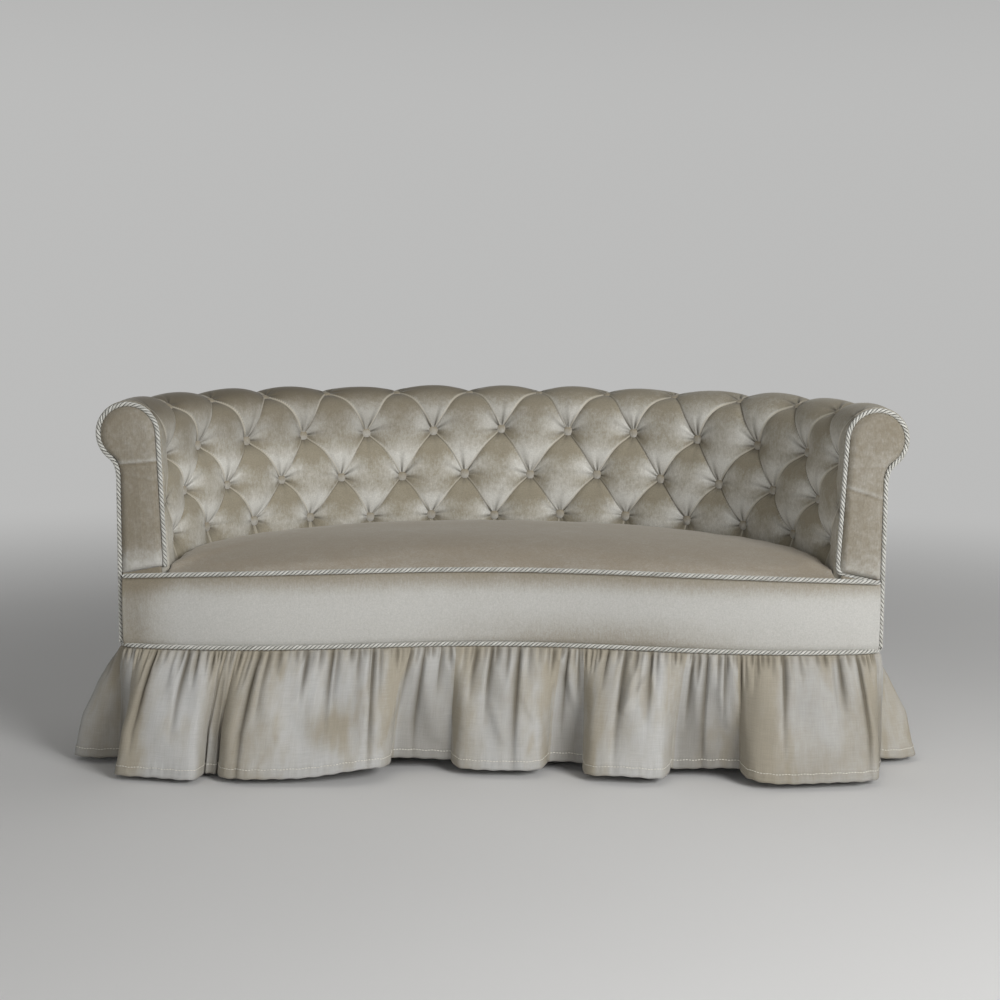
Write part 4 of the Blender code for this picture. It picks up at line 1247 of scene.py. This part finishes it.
def arm_cord_path(side):
    grown = EDGE - (CORD_R + GAP) * sideways(EDGE, closed=True)
    start = int(np.argmin(np.hypot(EDGE[:, 0] + PANEL_INSET, EDGE[:, 1] - PANEL_OUTER_LOW)))
    grown = np.roll(grown, -start, axis=0)
    inner = int(np.argmin(np.hypot(grown[:, 0] - inner_u(PANEL_INNER_LOW), grown[:, 1] - PANEL_INNER_LOW)))
    grown = grown[3 : inner + 1] if side < 0 else grown[3:-3]
    down = np.linspace(BODY_LOW + GAP, PANEL_OUTER_LOW, 30)
    corner = np.stack([np.full(30, -PANEL_INSET + CORD_R), down], axis=1)
    grown = np.vstack([corner, grown])
    at = np.full(len(grown), side * (HALF + CORD_R + 2 * GAP))
    return even_steps(body3(at, grown[:, 0], grown[:, 1]))


seat_x = np.linspace(-CORNER_X + CORD_R, CORNER_X - CORD_R, 380)
seat_path = np.column_stack([*front(seat_x, CORD_R + 2 * GAP), seat_edge_z(seat_x)])
base_path = base3(np.linspace(0.0, ROUND, 1000, endpoint=False), FRAME_OUT + CORD_R + 2 * GAP, CORD_Z)
twisted("left_arm_cord_twist", arm_cord_path(-1), "left_arm_cord")
twisted("right_arm_cord_twist", arm_cord_path(1), "right_arm_cord")
twisted("seat_edge_cord_twist", even_steps(seat_path), "seat_edge_cord")
twisted("base_cord_twist", base_path, "base_cord", closed=True)

# %% [markdown]
# ## The skirt
# The skirt is a long strip of the same cloth, half as long again as the base, gathered on a thread under
# the base cord. The gathers die out downwards, and the spare cloth falls into broad folds that stand
# forward, with narrow hollows between. The fold line at the hem is drawn first, as a row of rounded boxes;
# the top is a fine crinkle of the same length, and every thread of the cloth runs from one to the other.
# Places along the front are counted from the middle, with the corners at -1 and 1.

# %% Fold plan
FOLD_PROUD, FOLD_BACK, FOLD_SIDE = 0.078, 0.014, 0.014
FOLD_WIDTH, FOLD_SPACE = 0.050, 0.0150
FRONT_FOLDS = ((0.982, 0.636), (0.457, 0.226), (0.130, -0.133), (-0.295, -0.743), (-0.775, -0.985))


def at_front(share):
    run = (BASE_AT[:-1] > M_RIGHT - 0.02) & (BASE_AT[:-1] < M_LEFT + 0.02)
    order = np.argsort(loop[run, 0])
    return float(np.interp(share * CORNER_X, loop[run, 0][order], BASE_AT[:-1][run][order]))


folds = [(at_front(a), at_front(b)) for a, b in FRONT_FOLDS]
spot = folds[-1][1] + FOLD_SPACE * ROUND
stop = folds[0][0] - FOLD_SPACE * ROUND + ROUND
while spot < stop - 0.5 * FOLD_WIDTH * ROUND:
    number = len(folds)
    wide = FOLD_WIDTH * ROUND * (1 + 0.25 * math.sin(2.1 * number + 0.7))
    folds.append((spot, min(spot + wide, stop)))
    spot += wide + FOLD_SPACE * ROUND * (1 + 0.3 * math.sin(3.7 * number))
print("folds round the skirt:", len(folds))

# %% The hem line
BETWEEN = 1.4
FOLD_STEPS, HOLLOW_STEPS = 121, 20
CORNER_FLAP = {True: 0.026, False: 0.022}
plan_m, plan_out, plan_t = [], [], []
for number, (a, b) in enumerate(folds):
    t = np.sin(0.5 * math.pi * np.linspace(-1.0, 1.0, FOLD_STEPS))
    proud = (1 - np.abs(t) ** 5.0) ** 0.45
    high = FOLD_PROUD * (1 + 0.13 * math.sin(2.4 * number))
    middle_x = base3(np.array([(a + b) / 2]), 0.0, 0.0)[0, 0]
    if number >= len(FRONT_FOLDS):
        high += FOLD_SIDE * abs(middle_x) / HALF_WIDTH
    if number in (len(FRONT_FOLDS), len(folds) - 1):
        high += CORNER_FLAP[bool(middle_x < 0)]
    overhang = 0.013 * np.sin(math.pi * t) * proud
    plan_m.append((a + b) / 2 + t * (b - a) / 2 + overhang)
    plan_out.append(FOLD_BACK + (high - FOLD_BACK) * proud + 0.005 * np.sin(3.3 * t + number) * proud - 0.002)
    plan_t.append(t)
    ahead = folds[(number + 1) % len(folds)][0] + (ROUND if number == len(folds) - 1 else 0.0)
    t = np.linspace(0.0, 1.0, HOLLOW_STEPS + 2)[1:-1]
    sunk = min(1.0, (ahead - b) / 0.055)
    plan_m.append(b + t * (ahead - b))
    plan_out.append(FOLD_BACK * (1.0 - 0.5 * np.sin(math.pi * t)) + 0.038 * (1.0 - sunk))
    plan_t.append(np.full(HOLLOW_STEPS, BETWEEN))
plan_m, plan_out, plan_t = [np.concatenate(plan) for plan in (plan_m, plan_out, plan_t)]
hem_xyz = base3(plan_m, plan_out, 0.0)
hem_at = lengths(np.vstack([hem_xyz, hem_xyz[:1]]))
FLAT = hem_at[-1]
print("cloth round the hem:", round(FLAT, 3), "m, fullness", round(FLAT / ROUND, 2))

# %% Cloth coordinates
S_COUNT = int(FLAT / 0.0031)
cloth_s = np.linspace(0.0, FLAT, S_COUNT, endpoint=False)
hem_m = np.interp(cloth_s, hem_at, np.append(plan_m, plan_m[0] + ROUND))
hem_out = np.interp(cloth_s, hem_at, evened(np.append(plan_out, plan_out[0]), 2))
cloth_t = plan_t[np.clip(np.searchsorted(hem_at, cloth_s), 0, len(plan_t) - 1)]
even_m = plan_m[0] + cloth_s / FLAT * ROUND


def blurred(values, count):
    """Values round the cloth, each the mean of its neighbours."""
    bell = np.hanning(count) / np.hanning(count).sum()
    return np.convolve(np.concatenate([values] * 3), bell, "same")[S_COUNT : 2 * S_COUNT]


top_m = even_m + 0.80 * blurred(hem_m - even_m, 85)
DROPS = np.concatenate([np.linspace(0.0, 0.12, 12)[:-1], np.linspace(0.12, 1.0, 36)])
print("columns of cloth:", S_COUNT, "rows:", len(DROPS))

# %% Gathers
# On a fold a crease is the fold, the place on it, the reach down the cloth and the steep side. In a hollow
# it is the place along the front, the reach and the steep side. The rest are drawn at random.
FRONT_CREASES = [
    (0, 0.33, 0.95, 1), (0, -0.41, 0.55, -1), (0, -0.80, 1.3, -1), (1, 0.16, 1.1, 1), (1, -0.35, 0.7, -1),
    (2, 0.28, 0.65, 1), (2, -0.20, 1.3, -1), (2, 0.66, 0.5, 1), (3, -0.60, 1.3, 1), (3, 0.70, 1.5, -1),
    (3, 0.12, 0.50, 1), (3, -0.14, 0.7, -1), (4, -0.15, 0.75, 1), (4, 0.55, 0.9, -1),
]
HOLLOW_CREASES = [
    (-0.285, 0.70, 1), (-0.235, 1.20, -1), (-0.180, 0.55, 1), (0.165, 0.95, -1), (0.205, 0.55, 1),
    (0.485, 0.75, 1), (0.535, 1.30, -1), (0.590, 0.70, 1),
]
FOLD_CREASE, HOLLOW_CREASE = 0.015, 0.012
gather = np.random.default_rng(11)
CREASES = []
for number, t, reach, steep in FRONT_CREASES:
    first = number * (FOLD_STEPS + HOLLOW_STEPS)
    spot = first + int(np.argmin(np.abs(plan_t[first:][:FOLD_STEPS] - t)))
    CREASES.append((hem_at[spot], FOLD_CREASE, reach, steep))
for share, reach, steep in HOLLOW_CREASES:
    spot = int(np.argmin(np.abs(hem_m - at_front(share))))
    CREASES.append((cloth_s[spot], HOLLOW_CREASE, reach, steep))
s = 0.0
while s < FLAT:
    reach = gather.choice([0.13, 0.22, 0.34, 0.60], p=[0.30, 0.32, 0.24, 0.14])
    CREASES.append((s, gather.uniform(0.0065, 0.0130), reach, gather.choice([-1, 1])))
    s += gather.uniform(0.008, 0.029)
crinkle = np.zeros((S_COUNT, len(DROPS)))
for spot, deep, reach, steep in CREASES:
    gap = wrapped(cloth_s - spot, FLAT)
    near = np.flatnonzero(np.abs(gap) < 0.13)
    wide = np.where(gap[near] * steep > 0, 0.0034, 0.0088)[:, None] * (1 + 1.2 * DROPS / reach)[None, :]
    fade = unit(1 - (DROPS / reach) ** 1.7)
    groove = deep * np.exp(-np.abs(gap[near])[:, None] / wide) * fade[None, :]
    crinkle[near] = np.maximum(crinkle[near], groove)
print("gathers:", len(CREASES))

# %% The broad form of the skirt
drop = DROPS[None, :]
form = np.interp(DROPS, [0.0, 0.06, 0.14, 0.30, 0.64, 1.0], [0.0, 0.07, 0.20, 0.42, 0.80, 1.0])[None, :]
skirt_m = top_m[:, None] + (hem_m - top_m)[:, None] * form
slow = 0.004 * np.sin(2 * math.pi * cloth_s / 0.31 + 1.0)[:, None] * np.sin(math.pi * drop)
puffed = 0.0100 * (1 - np.exp(-drop / 0.025))
skirt_out = FRAME_OUT + 0.0028 + (hem_out - FRAME_OUT - 0.0128)[:, None] * form + puffed + slow
skirt_out = skirt_out - crinkle * np.minimum(1.0, 0.2 + drop / 0.03)
slant = np.sin(2 * math.pi * (cloth_s[:, None] / 0.105 + 0.9 * drop) + 2 * np.sin(cloth_s * 5)[:, None])
skirt_out = skirt_out + 0.0024 * slant * np.sin(math.pi * drop) ** 1.5
print("broad form reaches out", round(float(skirt_out.max()), 3), "m")

# %% Skirt surface
# A drape is a soft ridge: where it starts along the front and down the cloth, where it ends, how wide it
# is and how proud. A rise of the hem is its place, its width and its height.
DRAPES = [
    (0.375, 0.05, 0.335, 0.48, 0.010, 0.008), (0.410, 0.14, 0.335, 0.48, 0.010, 0.008),
    (0.060, 0.35, 0.120, 0.70, 0.011, 0.006), (-0.030, 0.40, 0.015, 0.80, 0.012, 0.006),
    (-0.495, 0.06, -0.540, 0.42, 0.010, 0.007), (-0.640, 0.10, -0.600, 0.60, 0.016, 0.005),
    (0.760, 0.10, 0.720, 0.70, 0.013, 0.006), (0.900, 0.20, 0.880, 0.80, 0.018, 0.005),
    (-0.370, 0.20, -0.330, 0.85, 0.014, 0.006), (-0.850, 0.05, -0.830, 0.65, 0.014, 0.006),
    (-0.250, 0.05, -0.285, 0.60, 0.010, 0.008), (-0.205, 0.12, -0.175, 0.85, 0.020, 0.009),
    (0.170, 0.06, 0.205, 0.55, 0.010, 0.007), (0.515, 0.08, 0.545, 0.90, 0.015, 0.009),
    (0.575, 0.10, 0.600, 0.65, 0.010, 0.007),
]
HEM_RISES = [
    (-0.38, 0.085, 0.014), (0.34, 0.075, 0.008), (0.62, 0.050, 0.006), (-1.0, 0.16, -0.005),
    (1.0, 0.16, -0.006),
]
STITCHED, HEM_LOWEST = 0.915, 0.0015
for x0, d0, x1, d1, wide, high in DRAPES:
    along = unit((drop - d0) / (d1 - d0))
    line_m = at_front(x0) + (at_front(x1) - at_front(x0)) * along
    ridge = hump(wrapped(skirt_m - line_m, ROUND), wide)
    skirt_out = skirt_out + high * ridge * np.sin(math.pi * along) ** 0.6
hem_band = unit((drop - STITCHED) / 0.012)
pucker = np.sin(2 * math.pi * cloth_s / 0.0165 + 2.5 * np.sin(cloth_s * 31))[:, None]
skirt_out = skirt_out + 0.0010 * hem_band + 0.0005 * pucker * hump(drop - 0.935, 0.045)
skirt_out = np.maximum(skirt_out, FRAME_OUT + 0.0027)
uneven = 0.0030 * np.sin(cloth_s * 6.1 + 1.0) + 0.0014 * np.sin(cloth_s * 17.3)
uneven = uneven + 0.0007 * np.sin(cloth_s * 190.0)
low_z = HEM_Z + 0.0055 + uneven + 0.004 * unit((0.055 - hem_out) / 0.045)
for x0, wide, rise in HEM_RISES:
    low_z = low_z + rise * hump(wrapped(hem_m - at_front(x0), ROUND), wide)
low_z = np.maximum(low_z, HEM_LOWEST)
skirt_z = SKIRT_TOP + (low_z[:, None] - SKIRT_TOP) * drop
skirt_xyz = base3(skirt_m, skirt_out, skirt_z)
print("skirt reaches out", round(float(skirt_out.max()), 3), "m, lowest", round(float(skirt_z.min()), 4))

# %% [markdown]
# The skirt's cloth is flatter and more worn than the rest. Its material reads a UV map in metres of flat
# cloth, so its weave and its brown, brushed-up patches follow the folds.

# %% Skirt material
def skirt_material():
    made, tree, shader = new_material("skirt velvet")
    flat = add_node(tree, "ShaderNodeUVMap", uv_map="cloth").outputs[0]
    patch = noise(flat, (11.0, 4.0, 1.0), 3.0, 0.55)
    cloud = noise(flat, (40.0, 17.0, 1.0), 3.0, 0.6)
    pile = noise(flat, (900.0, 700.0, 1.0), 2.0, 0.7)
    weave = noise(flat, (600.0, 24.0, 1.0), 1.0, 0.6) + noise(flat, (24.0, 600.0, 1.0), 1.0, 0.6)
    tone = ramp(patch, 0.50, 0.64) * -0.40 + stored(tree, "nap") + (cloud - 0.5) * 0.80
    tone = ramp(tone, 0.0, 1.0)
    colour = mix(tone, (0.350, 0.317, 0.254, 1.0), (0.460, 0.458, 0.445, 1.0))
    # The crease number paints shade into the colour.
    colour = mix(stored(tree, "crease"), colour, (0.120, 0.104, 0.076, 1.0))
    speck = (pile - 0.5) * 0.22 + 1.0 + (weave - 1.0) * 0.22 + stored(tree, "hem") * -0.06
    fill(shader, {"Base Color": shaded(colour, speck), "Roughness": ramp(tone, 0.0, 1.0, 0.95, 0.82)})
    set_sheen(shader, 0.10, 0.5, (0.95, 0.94, 0.90))
    set_bump(shader, weave * 0.00016 + pile * 0.00012)
    return made


SKIRT_CLOTH = skirt_material()
print("material made:", SKIRT_CLOTH.name)

# %% Wear and painted shade of the skirt
# A patch is its place along the front and down the cloth, its width and height, how warm it is, a real
# worn stain, and how dark, a painted shade.
WORN_AND_SHADED = [
    (-0.46, 0.62, 0.045, 0.16, 0.60, 0.14), (-0.385, 0.40, 0.012, 0.40, 0.10, 0.22),
    (-0.72, 0.55, 0.020, 0.50, 0.35, 0.00), (0.00, 0.50, 0.030, 0.45, 0.10, 0.20),
    (0.67, 0.50, 0.035, 0.55, 0.40, 0.16), (0.80, 0.90, 0.100, 0.22, 0.45, 0.24),
    (0.94, 0.50, 0.045, 0.40, 0.50, 0.22), (0.33, 0.60, 0.040, 0.30, 0.30, 0.08),
    (0.50, 0.55, 0.040, 0.45, 0.00, 0.15), (0.80, 0.35, 0.060, 0.35, 0.10, 0.26),
    (-0.94, 0.65, 0.020, 0.40, 0.45, 0.00),
]
left_edge = unit((cloth_t - 0.15) / 0.45) * (cloth_t < BETWEEN)
right_edge = unit((-cloth_t - 0.70) / 0.25)
brushed = 0.50 * left_edge + 0.40 * right_edge
hollow = blurred((cloth_t >= BETWEEN).astype(float), 15)
warm_patch = np.zeros(skirt_m.shape)
# The left end of the skirt gets a painted shade.
painted_shade_patch = 0.30 * hump(skirt_m - M_LEFT - 0.055, 0.06)
for x0, d0, wide, tall, warm, painted_shade_by in WORN_AND_SHADED:
    gap = wrapped(skirt_m - at_front(x0), ROUND)
    blot = np.exp(-((gap / wide) ** 2) - ((drop - d0) / tall) ** 2)
    warm_patch = warm_patch + warm * blot
    painted_shade_patch = painted_shade_patch + painted_shade_by * blot
# Painted shade in the creases and the hollows between the folds, carried with the patches as the crease
# number.
in_crease = unit((crinkle - 0.0030) / 0.009) ** 1.2
skirt_nap = 0.86 - 0.42 * np.exp(-drop / 0.09) - brushed[:, None] - warm_patch
skirt_painted_shade = np.clip(0.95 * in_crease + 0.52 * hollow[:, None] * form + painted_shade_patch, 0.0, 0.85)
skirt_hem = np.broadcast_to(unit((drop - 0.905) / 0.02), skirt_m.shape)
print("worn patches:", len(WORN_AND_SHADED))

# %% Skirt pieces
M_BACK = 0.30 * M_RIGHT
CLOTH_THICK = 0.0022
middle_m = np.mod(even_m, ROUND)


def skirt_piece(name, first_m, last_m, node):
    inside = (middle_m - first_m) % ROUND <= (last_m - first_m) % ROUND
    start = int(np.flatnonzero(inside & ~np.roll(inside, 1))[0])
    kept = (start + np.arange(int(inside.sum()) + 1)) % S_COUNT
    points = skirt_xyz[kept]
    piece = make_piece(name, points, grid_faces(*points.shape[:2]), SKIRT_CLOTH)
    run = np.arange(len(kept)) * FLAT / S_COUNT
    across = run[:, None] + start * FLAT / S_COUNT
    set_uv(piece, "cloth", np.stack(np.broadcast_arrays(across, (1 - drop) * 0.2356), axis=-1))
    for label, numbers in (("nap", skirt_nap), ("hem", skirt_hem), ("crease", skirt_painted_shade)):
        set_number(piece, label, numbers[kept])
    thick = piece.modifiers.new("thickness", "SOLIDIFY")
    thick.thickness = CLOTH_THICK
    thick.offset = -1.0
    settle(piece, "skirt_velvet", node)
    print(name, "flat", round(run[-1], 3), "m by 0.236 m")
    return piece, round(float(run[-1]), 3)


SKIRT_RUNS = [
    ("front_skirt", M_RIGHT, M_LEFT, "skirt_front"),
    ("right_skirt", M_BACK, M_RIGHT, "skirt_right"),
    ("back_skirt", ROUND - M_BACK, M_BACK, "skirt_back"),
    ("left_skirt", M_LEFT, ROUND - M_BACK, "skirt_left"),
]
skirts = [skirt_piece(*run) for run in SKIRT_RUNS]

# %% [markdown]
# The hem is turned up and sewn. A stitch is a few faces long and wide, and there are about nine hundred, so
# Geometry Nodes set them along the hem line at an even spacing.

# %% Hem stitches
def thread_material():
    made, tree, shader = new_material("hem thread")
    wear = noise(object_place(tree), 140.0, 2.0, 0.6)
    colour = mix(wear, (0.60, 0.57, 0.49, 1.0), (0.80, 0.78, 0.71, 1.0))
    fill(shader, {"Base Color": colour, "Roughness": 0.7})
    return made


def stitch_tree():
    ins = [GEOMETRY, ("Spacing", "Float", 0.0060), ("Length", "Float", 0.0026)]
    ins += [("Thread", "Float", 0.00075), ("Material", "Material")]
    tree, given, result = new_tree("hem stitches", "GeometryNodeTree", ins, [GEOMETRY])
    path = geometry(tree, "MeshToCurve", {"Mesh": given["Geometry"]})
    spacing = {"Curve": path, "Length": given["Spacing"]}
    spots = add_node(tree, "GeometryNodeCurveToPoints", spacing, mode="LENGTH").outputs
    stitch = bead(tree, 6, 4, (given["Length"], given["Thread"], given["Thread"]))
    turned = {"Vector": spots["Tangent"]}
    turned = add_node(tree, "FunctionNodeAlignRotationToVector", turned, axis="X").outputs[0]
    many = {"Points": spots["Points"], "Instance": stitch, "Rotation": turned}
    return hand_out(tree, geometry(tree, "InstanceOnPoints", many), given, result, smooth=False)


row = int(np.argmin(np.abs(DROPS - 0.917)))
outward = base3(skirt_m[:, row], 1.0, 0.0) - base3(skirt_m[:, row], 0.0, 0.0)
stitch_line = skirt_xyz[:, row] + 0.0004 * outward
stitch_edges = [(k, (k + 1) % S_COUNT) for k in range(S_COUNT)]
stitches = grow("hem_stitches", stitch_line, stitch_edges, stitch_tree(), {}, thread_material())
settle(stitches, "skirt_velvet")

# %% [markdown]
# ## What is underneath
# The beech frame, webbing, springs and hessian keep their solids and get real finishes: grained wood, woven
# jute, wire with a little rust and thin black lining. The legs are turned, in a darker wood.

# %% Wood, jute, steel and lining
def wood_material(name, light, dark):
    made, tree, shader = new_material(name)
    where = object_place(tree)
    grain = noise(where, (60.0, 60.0, 5.0), 4.0, 0.6)
    fine = noise(where, (500.0, 500.0, 40.0), 2.0, 0.6)
    colour = shaded(mix(ramp(grain, 0.35, 0.68), dark, light), fine * 0.3 + 0.85)
    fill(shader, {"Base Color": colour, "Roughness": ramp(grain, 0.2, 0.8, 0.38, 0.58)})
    set_bump(shader, fine * 0.0002)
    return made


def woven_material(name, light, dark, pitch):
    made, tree, shader = new_material(name)
    where = object_place(tree)
    x, y, z = [Value(part) for part in add_node(tree, "ShaderNodeSeparateXYZ", {0: where}).outputs]
    wander = noise(where, 90.0) * 1.6
    warp = (x * (6.283 / pitch) + wander).to("SINE")
    weft = ((y + z) * (6.283 / pitch) + wander).to("SINE")
    weave = warp * weft * 0.5 + 0.5
    tone = (noise(where, 20.0, 3.0) - 0.5) * 0.6 + weave
    fill(shader, {"Base Color": mix(tone, dark, light), "Roughness": 0.95})
    set_bump(shader, weave * 0.0004)
    return made


def steel_material():
    made, tree, shader = new_material("spring steel")
    rust = ramp(noise(object_place(tree), 45.0, 4.0, 0.65), 0.52, 0.70)
    fill(shader, {"Base Color": mix(rust, (0.46, 0.46, 0.47, 1.0), (0.19, 0.11, 0.07, 1.0))})
    fill(shader, {"Metallic": ramp(rust, 0.0, 1.0, 0.95, 0.15)})
    fill(shader, {"Roughness": ramp(rust, 0.0, 1.0, 0.32, 0.80)})
    return made


BEECH = wood_material("beech", (0.52, 0.36, 0.21, 1.0), (0.40, 0.26, 0.145, 1.0))
LEG_WOOD = wood_material("stained leg", (0.165, 0.085, 0.045, 1.0), (0.085, 0.042, 0.022, 1.0))
JUTE = woven_material("jute", (0.46, 0.37, 0.24, 1.0), (0.24, 0.18, 0.11, 1.0), 0.0028)
LINING = woven_material("black lining", (0.055, 0.053, 0.050, 1.0), (0.022, 0.021, 0.020, 1.0), 0.0016)
STEEL = steel_material()
print("materials for the inside made")

# %% Finishes of the solids
# A solid takes the finish of the first of these words that its name has.
FINISHES = {"rail": BEECH, "block": BEECH, "post": BEECH, "hessian": JUTE, "webbing": JUTE, "spring": STEEL}
FINISHES["dust_cloth"] = LINING
finished = 0
for name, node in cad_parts.items():
    fitting = [surface for word, surface in FINISHES.items() if word in name]
    if fitting:
        node.data.materials.clear()
        node.data.materials.append(fitting[0])
        finished += 1
print("solids given a finish:", finished)

# %% Turned legs
LEG_HEIGHT, LEG_R, LEG_SIDES = 0.160, 0.026, 40
LEG_HEIGHTS = [0.0, 0.05, 0.45, 0.60, 0.66, 0.70, 0.84, 1.0]
LEG_WIDTHS = [0.62, 0.66, 0.72, 0.96, 0.96, 0.80, 1.0, 1.0]


def turned_leg(place):
    low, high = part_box(place + "_leg")
    heights = np.unique(np.round(np.concatenate([np.linspace(0, 1, 49), LEG_HEIGHTS]), 5))
    radius = LEG_R * evened(np.interp(heights, LEG_HEIGHTS, LEG_WIDTHS), 2)[:, None]
    around = np.linspace(0, 2 * math.pi, LEG_SIDES, endpoint=False)[None, :]
    x = (low[0] + high[0]) / 2 + radius * np.cos(around)
    y = (low[1] + high[1]) / 2 + radius * np.sin(around)
    points = with_z(x, y, (heights * (LEG_HEIGHT - GAP))[:, None])
    piece = make_piece(place + "_turned_leg", points, tube_faces(*points.shape[:2]), LEG_WOOD)
    settle(piece, "leg_wood", place + "_leg")


for place in ("front_left", "front_right", "back_left", "back_right"):
    turned_leg(place)
